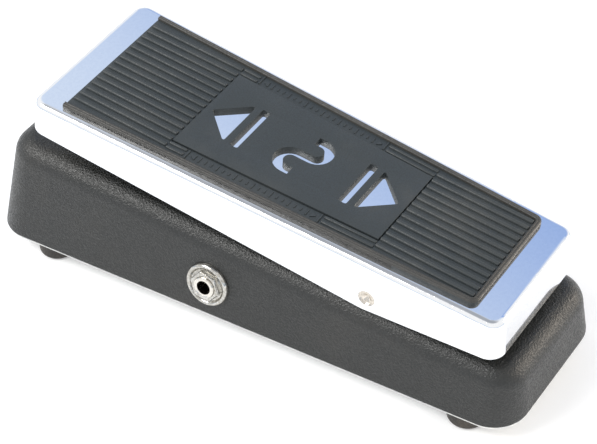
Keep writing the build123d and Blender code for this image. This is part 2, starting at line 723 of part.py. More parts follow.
def switch_case():
    """Foot switch: square case with a threaded collar that stands through the top."""
    half = SWITCH_BODY / 2
    case = block((-half, -half, -SWITCH_DEPTH - 5), (half, half, -5))
    case += cylinder(SWITCH_COLLAR, -6, 6.5)
    case -= cylinder(PLUNGER_RADIUS + RUNNING_GAP, -12, 8)
    return on_top(0, SWITCH_Y) * case


def switch_tags():
    """Nine solder tags under the switch."""
    tags = []
    for i in (-1, 0, 1):
        for j in (-1, 0, 1):
            low = (TAG_PITCH * i - 1, TAG_PITCH * j - 0.4, TAG_END)
            high = (TAG_PITCH * i + 1, TAG_PITCH * j + 0.4, TAG_END + 4)
            tags.append(on_top(0, SWITCH_Y) * block(low, high))
    return tags


def switch_nuts():
    """Outer and inner nut of the foot switch."""
    bore = cylinder(SWITCH_COLLAR, -9, 9)
    return [on_top(0, SWITCH_Y) * (hexagon(14.0, *span) - bore) for span in ((0.8, 3.0), (-5.0, -WALL))]


def switch_washer():
    """Washer under the outer nut."""
    return on_top(0, SWITCH_Y) * ring(9.0, SWITCH_COLLAR, 0, 0.8)


def switch_plunger():
    """Sprung plunger of the foot switch, with a domed end."""
    rod = cylinder(PLUNGER_RADIUS, -8, PLUNGER_TOP)
    tip = rod.edges().filter_by(GeomType.CIRCLE).sort_by(Axis.Z)[-1]
    return on_top(0, SWITCH_Y) * fillet(tip, 1.2)


# ---------------------------------------------------------------- sockets


def jack_body(side):
    """Socket: threaded collar with a plug bore, rear flange and insulated frame."""
    body = cylinder(JACK_COLLAR, JACK_TAIL, JACK_MOUTH)
    mouth = body.edges().filter_by(GeomType.CIRCLE).sort_by(Axis.Z)[-1]
    body = chamfer(mouth, 0.5)
    body += cylinder(8.0, -WALL - 1.5, -WALL)
    body += Pos(0, side * 6.9, 0) * block((-6.0, -0.6, JACK_END), (6.0, 0.6, -WALL - 1.0))
    body -= cylinder(JACK_BORE, JACK_TAIL - 1, JACK_MOUTH + 1)
    return side_wall_frame(side, JACK_Y, JACK_HEIGHT) * body


def jack_springs(side):
    """Contact leaves and their insulating stack."""
    stack = Pos(0, side * 4.05, 0) * block((-5.0, -2.25, JACK_END), (5.0, 2.25, -20.0))
    leaf = Pos(0, side * 1.55, 0) * block((-2.0, -0.25, JACK_END), (2.0, 0.25, -12.0))
    nose = Pos(0, side * 1.3, -13.5) * Rot(0, 90, 0) * Cylinder(1.2, 4.0)
    return side_wall_frame(side, JACK_Y, JACK_HEIGHT) * (stack + leaf + nose)


def jack_washer(side):
    """Dished washer between the nut and the wall."""
    profile = Polygon(
        (JACK_COLLAR, 0.1), (JACK_COLLAR, 0.9), (7.2, 0.9), (8.7, 1.7), (9.6, 1.6),
        (WASHER_RADIUS, 0.6), (WASHER_RADIUS, 0.1), align=None,
    )
    washer = revolve(Plane.XZ * profile, Axis.Z)
    return side_wall_frame(side, JACK_Y, JACK_HEIGHT) * washer


def jack_nut(side):
    """Hex nut of a socket."""
    nut = hexagon(JACK_NUT, 0.9, 3.1)
    nut &= Pos(0, 0, 0.9) * Cone(9.6, 6.7, 3.0, align=STAND)
    nut -= cylinder(JACK_COLLAR, 0, 4)
    return side_wall_frame(side, JACK_Y, JACK_HEIGHT) * nut


# ---------------------------------------------------------------- circuit board and battery


def circuit_board():
    """Bare board with four screw holes."""
    board = block((-BOARD_X, BOARD_HEEL, BOARD_LOW), (BOARD_X, BOARD_TOE, BOARD_LOW + BOARD_THICKNESS))
    board = fillet(board.edges().filter_by(Axis.Z), 1.5)
    for x, y in board_screw_places():
        board -= Pos(x, y, BOARD_LOW) * Cylinder(SMALL_SCREW, 4 * BOARD_THICKNESS)
    return board


def board_screws():
    """Four screws that hold the board under its posts."""
    screw = slotted_screw(2.6, 1.6, SMALL_SCREW, BOARD_THICKNESS + SMALL_SCREW_DEPTH - 0.5)
    return [Pos(x, y, BOARD_LOW) * screw for x, y in board_screw_places()]


def under_board(x, y):
    """Frame on the board's lower face, pointing down."""
    return Plane(origin=(x, y, BOARD_LOW), x_dir=(1, 0, 0), z_dir=(0, 0, -1))


def inductor():
    """Potted inductor in a round can."""
    can = cylinder(7.5, 0, 10.0)
    return under_board(11.0, -70.0) * fillet(can.edges().sort_by(Axis.Z)[-1], 0.8)


def transistors():
    """Two small-signal transistors."""
    body = cylinder(2.4, 2.0, 7.0) - block((-3, 1.2, 0), (3, 3, 9))
    legs = Part()
    for x in (-1.3, 0, 1.3):
        legs += block((x - 0.25, -0.25, 0), (x + 0.25, 0.25, 2.2))
    return [under_board(-10.0, y) * (body + legs) for y in (-66.0, -92.0)]


def film_capacitors():
    """Four box film capacitors."""
    places = ((-13.0, -79.0), (0.0, -84.0), (0.0, -98.0), (12.0, -90.0))
    box = block((-3.7, -1.8, 0), (3.7, 1.8, 7.5))
    return [under_board(x, y) * fillet(box.edges().sort_by(Axis.Z)[-4:], 0.5) for x, y in places]


def electrolytic_capacitors():
    """Three electrolytic capacitors."""
    can = cylinder(3.2, 0, 10.0)
    can = fillet(can.edges().sort_by(Axis.Z)[-1], 0.5)
    return [under_board(x, y) * can for x, y in ((-15.0, -100.0), (12.0, -102.0), (-3.0, -60.0))]


def resistors():
    """Ten resistors lying on the board, each with its bent leads."""
    body = Pos(-3.2, 0, 1.4) * Rot(0, 90, 0) * cylinder(1.15, 0, 6.4)
    lead = block((-4.6, -0.3, 1.1), (4.6, 0.3, 1.7)) + block((-4.6, -0.3, 0), (-4.0, 0.3, 1.7))
    one = body + lead + block((4.0, -0.3, 0), (4.6, 0.3, 1.7))
    rows = [(-14.0, -72.5), (-14.0, -86.0), (-1.5, -76.5), (-1.5, -90.5), (-1.5, -66.5)]
    rows += [(13.0, -83.0), (13.0, -96.5), (-1.0, -104.5), (-1.0, -108.5), (8.0, -56.5)]
    return [under_board(x, y) * one for x, y in rows]


def battery():
    """Nine-volt battery case."""
    x, y = BATTERY_CENTRE
    wide, long, high = BATTERY
    case = Pos(x, y, BATTERY_LOW + high / 2) * Box(wide, long, high)
    return fillet(case.edges().filter_by(Axis.Y), 2.0)


def battery_terminals():
    """Stud and socket on the battery's end."""
    x, y = BATTERY_CENTRE
    wide, long, high = BATTERY
    end = y - long / 2
    places = []
    for side, radius in ((-1, 2.9), (1, 4.1)):
        frame = Plane(
            origin=(x + side * 6.35, end, BATTERY_LOW + high / 2), x_dir=(1, 0, 0), z_dir=(0, -1, 0)
        )
        places.append(frame * cylinder(radius, 0, 2.8))
    return places


def snap_connector():
    """Moulded connector that snaps on the battery's terminals."""
    x, y = BATTERY_CENTRE
    wide, long, high = BATTERY
    end, middle = y - long / 2, BATTERY_LOW + high / 2
    cap = block((x - wide / 2, end - 5.0, middle - 6.5), (x + wide / 2, end - 0.2, middle + 6.5))
    cap = fillet(cap.edges().filter_by(Axis.Y), 3.0)
    for side, radius in ((-1, 2.9), (1, 4.1)):
        frame = Plane(origin=(x + side * 6.35, end, middle), x_dir=(1, 0, 0), z_dir=(0, -1, 0))
        cap -= frame * cylinder(radius, -1, 2.8)
    return cap


def battery_pad():
    """Foam pad between battery and bottom plate."""
    x, y = BATTERY_CENTRE
    wide, long, high = BATTERY
    return block((x - wide / 2, y - long / 2, FLOOR_Z), (x + wide / 2, y + long / 2, BATTERY_LOW))


def clip_top():
    """Height of the battery clip's upper face."""
    return BATTERY_LOW + BATTERY[2] + 0.8


def battery_clip():
    """Sprung steel clip over the battery."""
    x, y = BATTERY_CENTRE
    wide, long, high = BATTERY
    sheet, reach = 0.8, 8.0
    half = wide / 2
    outer = block((x - half - sheet, y - reach, BATTERY_LOW + 4), (x + half + sheet, y + reach, clip_top()))
    inner = block((x - half, y - reach - 1, BATTERY_LOW), (x + half, y + reach + 1, clip_top() - sheet))
    clip = outer - inner
    return clip - Pos(x, y, 0) * cylinder(SMALL_SCREW, 0, 2 * clip_top())


def clip_rivet():
    """Flat-headed rivet that holds the clip to its post."""
    x, y = BATTERY_CENTRE
    return Pos(x, y, clip_top()) * (cylinder(SMALL_SCREW, -0.8, SMALL_SCREW_DEPTH - 0.5))


# ---------------------------------------------------------------- wires


def wire(points):
    """Insulated wire: straight runs joined by arcs as large as the runs allow."""
    stations = [Vector(*p) for p in points]
    runs = [b - a for a, b in zip(stations, stations[1:])]
    radii = []
    for before, after in zip(runs, runs[1:]):
        turn = radians(before.get_angle(after))
        shorter = min(before.length, after.length)
        radii.append(min(WIRE_BEND, 0.45 * shorter / tan(turn / 2)))
    path = FilletPolyline(*stations, radius=radii)
    section = Plane(origin=path @ 0, z_dir=path % 0) * Circle(WIRE_RADIUS)
    return sweep(section, path=path)


def switch_tag_point(i, j):
    """Lower end of one of the foot switch's tags."""
    point = on_top(0, SWITCH_Y).from_local_coords(Vector(TAG_PITCH * i, TAG_PITCH * j, TAG_END + SOLDER))
    return tuple(point)


def jack_tag_point(side, across):
    """Place on the rear end of a socket's insulating stack."""
    frame = side_wall_frame(side, JACK_Y, JACK_HEIGHT)
    return tuple(frame.from_local_coords(Vector(across, side * 4.05, JACK_END + SOLDER)))


def board_edge_point(x):
    """Point on the board's toe edge."""
    return (x, BOARD_TOE - SOLDER, BOARD_LOW + BOARD_THICKNESS / 2)


def battery_leads():
    """Two leads from the snap connector: one to the board, one to the input socket."""
    x, y = BATTERY_CENTRE
    start_y = y - BATTERY[1] / 2 - 5.0 + SOLDER
    z = BATTERY_LOW + BATTERY[2] / 2
    ex, ey, ez = board_edge_point(-14.0)
    positive = [(x + 4, start_y, z), (x + 4, start_y - 5, z - 1), (-15, 12, WIRE_Z), (-14, -12, WIRE_Z)]
    positive += [(-14.5, -34, WIRE_Z + 3), (ex, ey + 7, ez), (ex, ey, ez)]
    tx, ty, tz = jack_tag_point(1, -2.5)
    negative = [(x - 4, start_y, z), (x - 4, start_y - 4, z - 2), (-10, 25, WIRE_Z), (4, 22, WIRE_Z + 2)]
    negative += [(tx - 5, ty + 1, tz - 2), (tx, ty, tz)]
    return [wire(positive), wire(negative)]


def pot_wires():
    """Three wires from the board to the potentiometer's tags."""
    wires = []
    for k in (-1, 0, 1):
        sx, sy, sz = board_edge_point(10.9 + 3 * k)
        ex, ey, ez = POT_FACE + 1.4, PINION_Y - POT_RADIUS - 5 + SOLDER, PINION_Z + 4 * k
        wires.append(wire([(sx, sy, sz), (sx, sy + 7, sz), (ex, ey - 7, ez - 0.3), (ex, ey, ez)]))
    return wires


def switch_wires():
    """Wires from the foot switch to both sockets and to the board."""
    wires = []
    for side in (-1, 1):
        sx, sy, sz = switch_tag_point(side, 0)
        ex, ey, ez = jack_tag_point(side, 2.5)
        points = [(sx, sy, sz), (sx, sy - 0.5, sz - 7), (side * 5.5, 66, 17), (side * 6, 44, 15.5)]
        points += [(side * 8, 26, 18), (ex - side * 5, ey + 3, ez - 3), (ex, ey, ez)]
        wires.append(wire(points))
    for k in (0, 1):
        sx, sy, sz = switch_tag_point(1, 2 * k - 1)
        ex, ey, ez = board_edge_point(17.5 + 3 * k)
        lane = 24.0 + 3 * k
        points = [(sx, sy, sz), (sx + 0.5, sy, sz - 6), (13 + 3 * k, sy - 14, WIRE_Z + 3), (lane, 44, WIRE_Z)]
        points += [(lane, 12, WIRE_Z), (lane, -20, WIRE_Z + 1), (ex + 1, ey + 9, ez - 1), (ex, ey, ez)]
        wires.append(wire(points))
    return wires


# ---------------------------------------------------------------- writing


def save(name, shape):
    """Write one node: a single piece, or a group of identical ones."""
    if isinstance(shape, (list, tuple)):
        shape = Compound(children=list(shape))
    export_step(shape, f"parts/{name}.step")


def main():
    """Make every node."""
    os.makedirs("parts", exist_ok=True)
    save("housing", housing())
    save("bottom_plate", bottom_plate())
    save("feet", feet())
    save("foot_screws", foot_screws())
    save("treadle", treadle())
    save("tread_mat", tread_mat())
    save("toe_pad", toe_pad())
    save("heel_pads", heel_pads())
    save("hinge_pin", hinge_pin())
    save("hinge_bushes", hinge_bushes())
    save("friction_washers", friction_washers())
    save("rack", rack())
    save("rack_pin", rack_pin())
    save("rack_guide", rack_guide())
    save("pinion", pinion())
    save("pinion_shaft", pinion_shaft())
    save("pot_case", pot_case())
    save("pot_nut", pot_nut())
    save("pot_bracket", pot_bracket())
    save("bracket_screws", bracket_screws())
    save("switch_case", switch_case())
    save("switch_tags", switch_tags())
    save("switch_nuts", switch_nuts())
    save("switch_washer", switch_washer())
    save("switch_plunger", switch_plunger())
    for side, name in ((-1, "output"), (1, "input")):
        save(f"{name}_jack", jack_body(side))
        save(f"{name}_jack_springs", jack_springs(side))
        save(f"{name}_jack_washer", jack_washer(side))
        save(f"{name}_jack_nut", jack_nut(side))
    save("circuit_board", circuit_board())
    save("board_screws", board_screws())
    save("inductor", inductor())
    save("transistors", transistors())
    save("film_capacitors", film_capacitors())
    save("electrolytic_capacitors", electrolytic_capacitors())
    save("resistors", resistors())
    save("battery", battery())
    save("battery_terminals", battery_terminals())
    save("snap_connector", snap_connector())
    save("battery_pad", battery_pad())
    save("battery_clip", battery_clip())
    save("clip_rivet", clip_rivet())
    save("battery_leads", battery_leads())
    save("pot_wires", pot_wires())
    save("switch_wires", switch_wires())


main()
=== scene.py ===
"""Rocker-treadle effects pedal: finishes, fine pieces and a soft studio round the fixed CAD frame.

Sizes in the classes are millimetres in each piece's own frame; meshes are written in metres in the
shared frame, where +Z is up, +Y points to the toe end and -X is the player's left.
"""

import json
import logging
import math
from dataclasses import dataclass, field
from enum import Enum
from typing import Iterable, Sequence

import bmesh
import bpy
from mathutils import Matrix, Vector


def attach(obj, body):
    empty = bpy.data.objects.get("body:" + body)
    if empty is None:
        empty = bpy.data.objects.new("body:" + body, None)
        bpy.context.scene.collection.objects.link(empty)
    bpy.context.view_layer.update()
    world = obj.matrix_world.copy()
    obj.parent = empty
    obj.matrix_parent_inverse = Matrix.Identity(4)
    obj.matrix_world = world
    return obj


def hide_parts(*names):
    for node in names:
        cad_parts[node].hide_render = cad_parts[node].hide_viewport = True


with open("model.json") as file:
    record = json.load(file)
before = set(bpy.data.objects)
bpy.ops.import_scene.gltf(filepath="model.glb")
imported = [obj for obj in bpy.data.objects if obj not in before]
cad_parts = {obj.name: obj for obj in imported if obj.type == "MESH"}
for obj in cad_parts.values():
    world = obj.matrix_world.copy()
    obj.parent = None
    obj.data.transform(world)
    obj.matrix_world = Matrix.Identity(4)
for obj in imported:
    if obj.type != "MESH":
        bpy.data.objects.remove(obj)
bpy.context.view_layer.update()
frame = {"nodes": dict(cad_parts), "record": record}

LOG = logging.getLogger("pedal")
MM = 0.001

Color = tuple[float, float, float]
Point = tuple[float, float]


class Slot(Enum):
    """The record's material slots."""

    WRINKLE_PAINT = "wrinkle_paint"
    PLATE_STEEL = "plate_steel"
    FOOT_RUBBER = "foot_rubber"
    ZINC_STEEL = "zinc_steel"
    BUSH_BRONZE = "bush_bronze"
    SPRING_STEEL = "spring_steel"
    CAN_STEEL = "can_steel"
    NICKEL = "nickel"
    SWITCH_CASE = "switch_case"
    TAG_BRASS = "tag_brass"
    WASHER_CHROME = "washer_chrome"
    BOARD = "board"
    COMPONENT_BLACK = "component_black"
    CAPACITOR_FILM = "capacitor_film"
    RESISTOR_BODY = "resistor_body"
    BATTERY_JACKET = "battery_jacket"
    FOAM = "foam"
    WIRE_RED = "wire_red"
    WIRE_GREY = "wire_grey"
    TREADLE_CHROME = "treadle_chrome"
    MAT_RUBBER = "mat_rubber"
    PIN_STEEL = "pin_steel"
    NYLON = "nylon"


class Body(Enum):
    """The bodies that pieces ride on."""

    HOUSING = "housing_body"
    TREADLE = "treadle_body"


class Side(Enum):
    """The two long sides of the pedal."""

    LEFT = -1
    RIGHT = 1


class End(Enum):
    """The two ends of the pedal."""

    TOE = 1
    HEEL = -1


# ---------------------------------------------------------------- shader groups


class Tree:
    """Adds and joins nodes in one material's, group's or world's tree."""

    def __init__(self, tree: bpy.types.NodeTree) -> None:
        """Takes hold of a tree.

        Args:
            tree: The node tree to work in.
        """
        self.tree = tree

    def add(self, kind: str, **settings: object) -> bpy.types.Node:
        """Adds a node.

        Args:
            kind: The node's type name without its ShaderNode prefix, or a full type name.
            **settings: Properties of the node to set.

        Returns:
            The new node.
        """
        name = kind if kind.startswith("Node") else "ShaderNode" + kind
        node = self.tree.nodes.new(name)
        for key, value in settings.items():
            setattr(node, key, value)
        return node

    def join(self, source: bpy.types.NodeSocket, target: bpy.types.NodeSocket) -> None:
        """Links an output to an input."""
        self.tree.links.new(source, target)

    def math(self, operation: str, first: object, second: object = 0.0) -> bpy.types.NodeSocket:
        """Adds a math node.

        Args:
            operation: The operation's name.
            first: A socket or a number.
            second: A socket or a number.

        Returns:
            The node's result.
        """
        node = self.add("Math", operation=operation)
        for socket, value in zip(node.inputs, (first, second)):
            self.feed(value, socket)
        return node.outputs[0]

    def feed(self, value: object, socket: bpy.types.NodeSocket) -> None:
        """Links a socket, or sets a plain value, on an input."""
        if isinstance(value, bpy.types.NodeSocket):
            self.join(value, socket)
        else:
            socket.default_value = value

    def spread(
        self, value: object, low: float, high: float, to_low: float, to_high: float
    ) -> bpy.types.NodeSocket:
        """Maps a range of values smoothly onto another.

        Args:
            value: The socket that is mapped.
            low: Start of its range.
            high: End of its range.
            to_low: Result at the start.
            to_high: Result at the end.

        Returns:
            The mapped value.
        """
        node = self.add("MapRange", interpolation_type="SMOOTHSTEP")
        for index, number in enumerate((value, low, high, to_low, to_high)):
            self.feed(number, node.inputs[index])
        return node.outputs[0]

    def mix(self, mask: object, first: object, second: object) -> bpy.types.NodeSocket:
        """Mixes two colours.

        Args:
            mask: Share of the second colour, a socket or a number.
            first: A colour socket or an RGB triple.
            second: A colour socket or an RGB triple.

        Returns:
            The mixed colour.
        """
        node = self.add("Mix", data_type="RGBA")
        self.feed(mask, node.inputs[0])
        for value, index in ((first, 6), (second, 7)):
            self.feed((*value, 1.0) if isinstance(value, tuple) else value, node.inputs[index])
        return node.outputs[2]

    def group(self, tree: bpy.types.NodeTree, **inputs: object) -> bpy.types.Node:
        """Places a shader group.

        Args:
            tree: The group's tree.
            **inputs: A value or a socket for each of its inputs.

        Returns:
            The group node.
        """
        node = self.add("Group", node_tree=tree)
        for name, value in inputs.items():
            self.feed(value, node.inputs[name])
        return node


def new_group(name: str, inputs: dict[str, float | None], outputs: Sequence[str]) -> tuple[Tree, dict, dict]:
    """Starts a shader group.

    Args:
        name: The group's name.
        inputs: Its inputs with their defaults; None is a vector.
        outputs: Its outputs, all values.

    Returns:
        The tree, its input sockets by name and its output sockets by name.
    """
    tree = bpy.data.node_groups.new(name, "ShaderNodeTree")
    for title, default in inputs.items():
        kind = "NodeSocketVector" if default is None else "NodeSocketFloat"
        socket = tree.interface.new_socket(title, in_out="INPUT", socket_type=kind)
        if default is not None:
            socket.default_value = default
    for title in outputs:
        tree.interface.new_socket(title, in_out="OUTPUT", socket_type="NodeSocketFloat")
    made = Tree(tree)
    start, end = made.add("NodeGroupInput"), made.add("NodeGroupOutput")
    return made, {s.name: s for s in start.outputs if s.name}, {s.name: s for s in end.inputs if s.name}


def grain_group() -> bpy.types.NodeTree:
    """Fine moulded grain: a height and an even mask."""
    tree, given, out = new_group("fine_grain", {"Vector": None, "Scale": 900.0}, ("Height", "Mask"))
    fine = tree.add("TexNoise", noise_dimensions="3D")
    tree.join(given["Vector"], fine.inputs["Vector"])
    tree.join(given["Scale"], fine.inputs["Scale"])
    fine.inputs["Detail"].default_value = 3.0
    fine.inputs["Roughness"].default_value = 0.55
    tree.join(fine.outputs[0], out["Height"])
    tree.join(tree.spread(fine.outputs[0], 0.38, 0.62, 0.0, 1.0), out["Mask"])
    return tree.tree


def wrinkle_group() -> bpy.types.NodeTree:
    """Baked wrinkle lacquer: small branching ridges with pits between them, and a mask of the pits where the
    finish paints shade.
    """
    tree, given, out = new_group("wrinkle", {"Vector": None, "Scale": 900.0}, ("Height", "PitShade"))
    warp = tree.add("TexNoise", noise_dimensions="3D")
    tree.join(given["Vector"], warp.inputs["Vector"])
    tree.join(tree.math("MULTIPLY", given["Scale"], 0.6), warp.inputs["Scale"])
    warp.inputs["Detail"].default_value = 2.0
    bent = tree.add("VectorMath", operation="MULTIPLY_ADD")
    tree.join(warp.outputs[1], bent.inputs[0])
    reach = tree.math("DIVIDE", 1.1, given["Scale"])
    tree.join(reach, bent.inputs[1])
    tree.join(given["Vector"], bent.inputs[2])
    cells = tree.add("TexVoronoi", feature="SMOOTH_F1")
    tree.join(bent.outputs[0], cells.inputs["Vector"])
    tree.join(given["Scale"], cells.inputs["Scale"])
    fine = tree.add("TexNoise", noise_dimensions="3D")
    tree.join(given["Vector"], fine.inputs["Vector"])
    tree.join(tree.math("MULTIPLY", given["Scale"], 1.7), fine.inputs["Scale"])
    fine.inputs["Detail"].default_value = 3.0
    height = tree.math("ADD", cells.outputs["Distance"], tree.math("MULTIPLY", fine.outputs[0], 0.7))
    tree.join(height, out["Height"])
    # Mask of the pits: the wrinkle finish lays its darker tone here as painted shade
    tree.join(tree.spread(height, 0.55, 0.95, 1.0, 0.0), out["PitShade"])
    return tree.tree


def dust_group() -> bpy.types.NodeTree:
    """Patchy dust and handling marks in broad soft clouds."""
    tree, given, out = new_group(
        "dust", {"Vector": None, "Scale": 25.0, "Low": 0.45, "High": 0.75}, ("Mask",)
    )
    cloud = tree.add("TexNoise", noise_dimensions="3D")
    tree.join(given["Vector"], cloud.inputs["Vector"])
    tree.join(given["Scale"], cloud.inputs["Scale"])
    cloud.inputs["Detail"].default_value = 6.0
    cloud.inputs["Roughness"].default_value = 0.65
    ranged = tree.add("MapRange", interpolation_type="SMOOTHSTEP")
    tree.join(cloud.outputs[0], ranged.inputs[0])
    tree.join(given["Low"], ranged.inputs[1])
    tree.join(given["High"], ranged.inputs[2])
    tree.join(ranged.outputs[0], out["Mask"])
    return tree.tree


def scuff_group() -> bpy.types.NodeTree:
    """Hair-fine scuffs that run mostly one way."""
    tree, given, out = new_group("scuffs", {"Vector": None, "Scale": 40.0, "Reach": 12.0}, ("Mask", "Height"))
    stretch = tree.add("Mapping")
    tree.join(given["Vector"], stretch.inputs["Vector"])
    stretch.inputs["Rotation"].default_value = (0.0, 0.0, 0.12)
    lengths = tree.add("CombineXYZ")
    tree.join(given["Reach"], lengths.inputs[0])
    lengths.inputs[1].default_value = 1.0
    tree.join(given["Reach"], lengths.inputs[2])
    tree.join(lengths.outputs[0], stretch.inputs["Scale"])
    hair = tree.add("TexNoise", noise_dimensions="3D")
    tree.join(stretch.outputs[0], hair.inputs["Vector"])
    tree.join(given["Scale"], hair.inputs["Scale"])
    hair.inputs["Detail"].default_value = 4.0
    tree.join(tree.spread(hair.outputs[0], 0.58, 0.72, 0.0, 1.0), out["Mask"])
    tree.join(hair.outputs[0], out["Height"])
    return tree.tree


@dataclass(frozen=True)
class Effects:
    """The shader groups that all finishes share."""

    grain: bpy.types.NodeTree
    wrinkle: bpy.types.NodeTree
    dust: bpy.types.NodeTree
    scuffs: bpy.types.NodeTree

    @classmethod
    def build(cls) -> "Effects":
        """Builds each group once."""
        return cls(grain_group(), wrinkle_group(), dust_group(), scuff_group())


# ---------------------------------------------------------------- finishes


@dataclass(frozen=True)
class Finish:
    """A surface finish: base colour, second tone, gloss, grain and dust.

    Grain sizes are millimetres; grain_height is how far the bump stands.
    """

    name: str
    slot: Slot
    color: Color
    tone: Color
    roughness: float
    rough_spread: float = 0.08
    metallic: float = 0.0
    specular: float = 0.5
    grain: float = 0.8
    grain_height: float = 0.03
    scuffs: float = 0.0
    dust: Color = (0.3, 0.28, 0.25)
    dust_share: float = 0.0
    dust_scale: float = 30.0
    coat: float = 0.0
    sheen: float = 0.0

    def material(self, effects: Effects) -> bpy.types.Material:
        """Builds the material.

        Args:
            effects: The shared shader groups.

        Returns:
            The new material.
        """
        made = bpy.data.materials.new(self.name)
        made.use_nodes = True
        tree = Tree(made.node_tree)
        shader = made.node_tree.nodes["Principled BSDF"]
        shader.inputs["Metallic"].default_value = self.metallic
        shader.inputs["Specular IOR Level"].default_value = self.specular
        if self.coat:
            shader.inputs["Coat Weight"].default_value = self.coat
            shader.inputs["Coat Roughness"].default_value = 0.2
        if self.sheen:
            shader.inputs["Sheen Weight"].default_value = self.sheen
            shader.inputs["Sheen Roughness"].default_value = 0.4
        place = tree.add("TexCoord").outputs["Object"]
        height, mask = self.surface(tree, effects, place)
        # The mask picks the second tone: random grain on most finishes, painted shade in the pits on wrinkle
        # paint
        color = tree.mix(mask, self.color, self.tone)
        smoothest, roughest = self.roughness - self.rough_spread, self.roughness + self.rough_spread
        rough = tree.spread(mask, 0.0, 1.0, smoothest, roughest)
        if self.scuffs:
            marks = tree.group(effects.scuffs, Vector=place)
            rough = tree.math("MULTIPLY_ADD", marks.outputs["Mask"], self.scuffs)
            rough.node.inputs[2].default_value = self.roughness
        if self.dust_share:
            cloud = tree.group(effects.dust, Vector=place, Scale=self.dust_scale)
            share = tree.math("MULTIPLY", cloud.outputs["Mask"], self.dust_share)
            color = tree.mix(share, color, self.dust)
        tree.join(color, shader.inputs["Base Color"])
        tree.join(rough, shader.inputs["Roughness"])
        bump = tree.add("Bump")
        bump.inputs["Strength"].default_value = 1.0
        bump.inputs["Distance"].default_value = self.grain_height * MM
        tree.join(height, bump.inputs["Height"])
        tree.join(bump.outputs[0], shader.inputs["Normal"])
        return made

    def surface(
        self, tree: Tree, effects: Effects, place: bpy.types.NodeSocket
    ) -> tuple[bpy.types.NodeSocket, bpy.types.NodeSocket]:
        """The finish's height and tone mask.

        Args:
            tree: The material's tree.
            effects: The shared shader groups.
            place: Object coordinates.

        Returns:
            The height and the mask.
        """
        grain = tree.group(effects.grain, Vector=place, Scale=1.0 / (self.grain * MM))
        return grain.outputs["Height"], grain.outputs["Mask"]


@dataclass(frozen=True)
class WrinkleFinish(Finish):
    """Baked wrinkle lacquer, with painted shade in its pits."""

    def surface(
        self, tree: Tree, effects: Effects, place: bpy.types.NodeSocket
    ) -> tuple[bpy.types.NodeSocket, bpy.types.NodeSocket]:
        """Branching ridges, with the darker second tone in the pits as painted shade."""
        wrinkle = tree.group(effects.wrinkle, Vector=place, Scale=1.0 / (self.grain * MM))
        return wrinkle.outputs["Height"], wrinkle.outputs["PitShade"]


@dataclass(frozen=True)
class BandedFinish(Finish):
    """Lacquer with turned or painted bands across the piece's X axis."""

    band_pitch: float = 1.6

    def surface(
        self, tree: Tree, effects: Effects, place: bpy.types.NodeSocket
    ) -> tuple[bpy.types.NodeSocket, bpy.types.NodeSocket]:
        """Grain for the height, and bands for the mask."""
        grain = tree.group(effects.grain, Vector=place, Scale=1.0 / (self.grain * MM))
        split = tree.add("SeparateXYZ")
        tree.join(place, split.inputs[0])
        phase = tree.math("FRACT", tree.math("DIVIDE", split.outputs[0], self.band_pitch * MM))
        return grain.outputs["Height"], tree.math("GREATER_THAN", phase, 0.62)


# Wrinkle paint: its darker second tone is painted shade in the wrinkle pits; its dust clouds are dust
PAINT = WrinkleFinish(
    "black_wrinkle_paint", Slot.WRINKLE_PAINT, (0.014, 0.015, 0.014), (0.006, 0.007, 0.006), 0.40,
    rough_spread=0.10, grain=0.72, grain_height=0.22, specular=0.60, dust=(0.070, 0.061, 0.048),
    dust_share=0.18, dust_scale=18.0,
)
CHROME = Finish(
    "treadle_chrome_plate", Slot.TREADLE_CHROME, (0.93, 0.94, 0.955), (0.90, 0.915, 0.94), 0.045,
    rough_spread=0.0, metallic=1.0, grain=1.6, grain_height=0.0008, scuffs=0.07,
)
MAT = Finish(
    "tread_mat_rubber", Slot.MAT_RUBBER, (0.035, 0.043, 0.046), (0.028, 0.034, 0.037), 0.50,
    grain=0.5, grain_height=0.03, specular=0.5, dust=(0.12, 0.115, 0.10), dust_share=0.22, dust_scale=22.0,
)
# The mat's own rubber, painted lighter and warmer on the rim bead as painted sheen; its dust clouds are dust
MAT_RIM_SHEEN = Finish(
    "tread_mat_rim_painted_sheen", Slot.MAT_RUBBER, (0.050, 0.048, 0.043), (0.036, 0.035, 0.032), 0.46,
    grain=0.5, grain_height=0.03, specular=0.5, dust=(0.13, 0.12, 0.10), dust_share=0.22, dust_scale=30.0,
)
RUBBER = Finish(
    "foot_rubber_black", Slot.FOOT_RUBBER, (0.028, 0.024, 0.020), (0.018, 0.016, 0.014), 0.55,
    grain=0.7, grain_height=0.04, dust=(0.14, 0.11, 0.08), dust_share=0.3, dust_scale=60.0,
)
PLATE = Finish(
    "plate_zinc", Slot.PLATE_STEEL, (0.74, 0.74, 0.72), (0.60, 0.60, 0.60), 0.30, metallic=1.0,
    grain=3.0, grain_height=0.004, scuffs=0.2,
)
ZINC = Finish(
    "zinc_plated_steel", Slot.ZINC_STEEL, (0.70, 0.69, 0.66), (0.58, 0.57, 0.55), 0.30, metallic=1.0,
    grain=1.2, grain_height=0.006,
)
BRONZE = Finish(
    "sintered_bronze", Slot.BUSH_BRONZE, (0.46, 0.29, 0.13), (0.36, 0.22, 0.09), 0.42, metallic=1.0,
    grain=0.35, grain_height=0.02,
)
SPRING = Finish(
    "spring_steel_blue", Slot.SPRING_STEEL, (0.46, 0.46, 0.47), (0.36, 0.36, 0.38), 0.28, metallic=1.0,
    grain=1.5, grain_height=0.004,
)
CAN = Finish(
    "tinned_can", Slot.CAN_STEEL, (0.66, 0.66, 0.64), (0.55, 0.55, 0.54), 0.34, metallic=1.0,
    grain=1.0, grain_height=0.008,
)
NICKEL = Finish(
    "nickel_plate", Slot.NICKEL, (0.80, 0.77, 0.71), (0.72, 0.69, 0.63), 0.14, rough_spread=0.04,
    metallic=1.0, grain=0.9, grain_height=0.002,
)
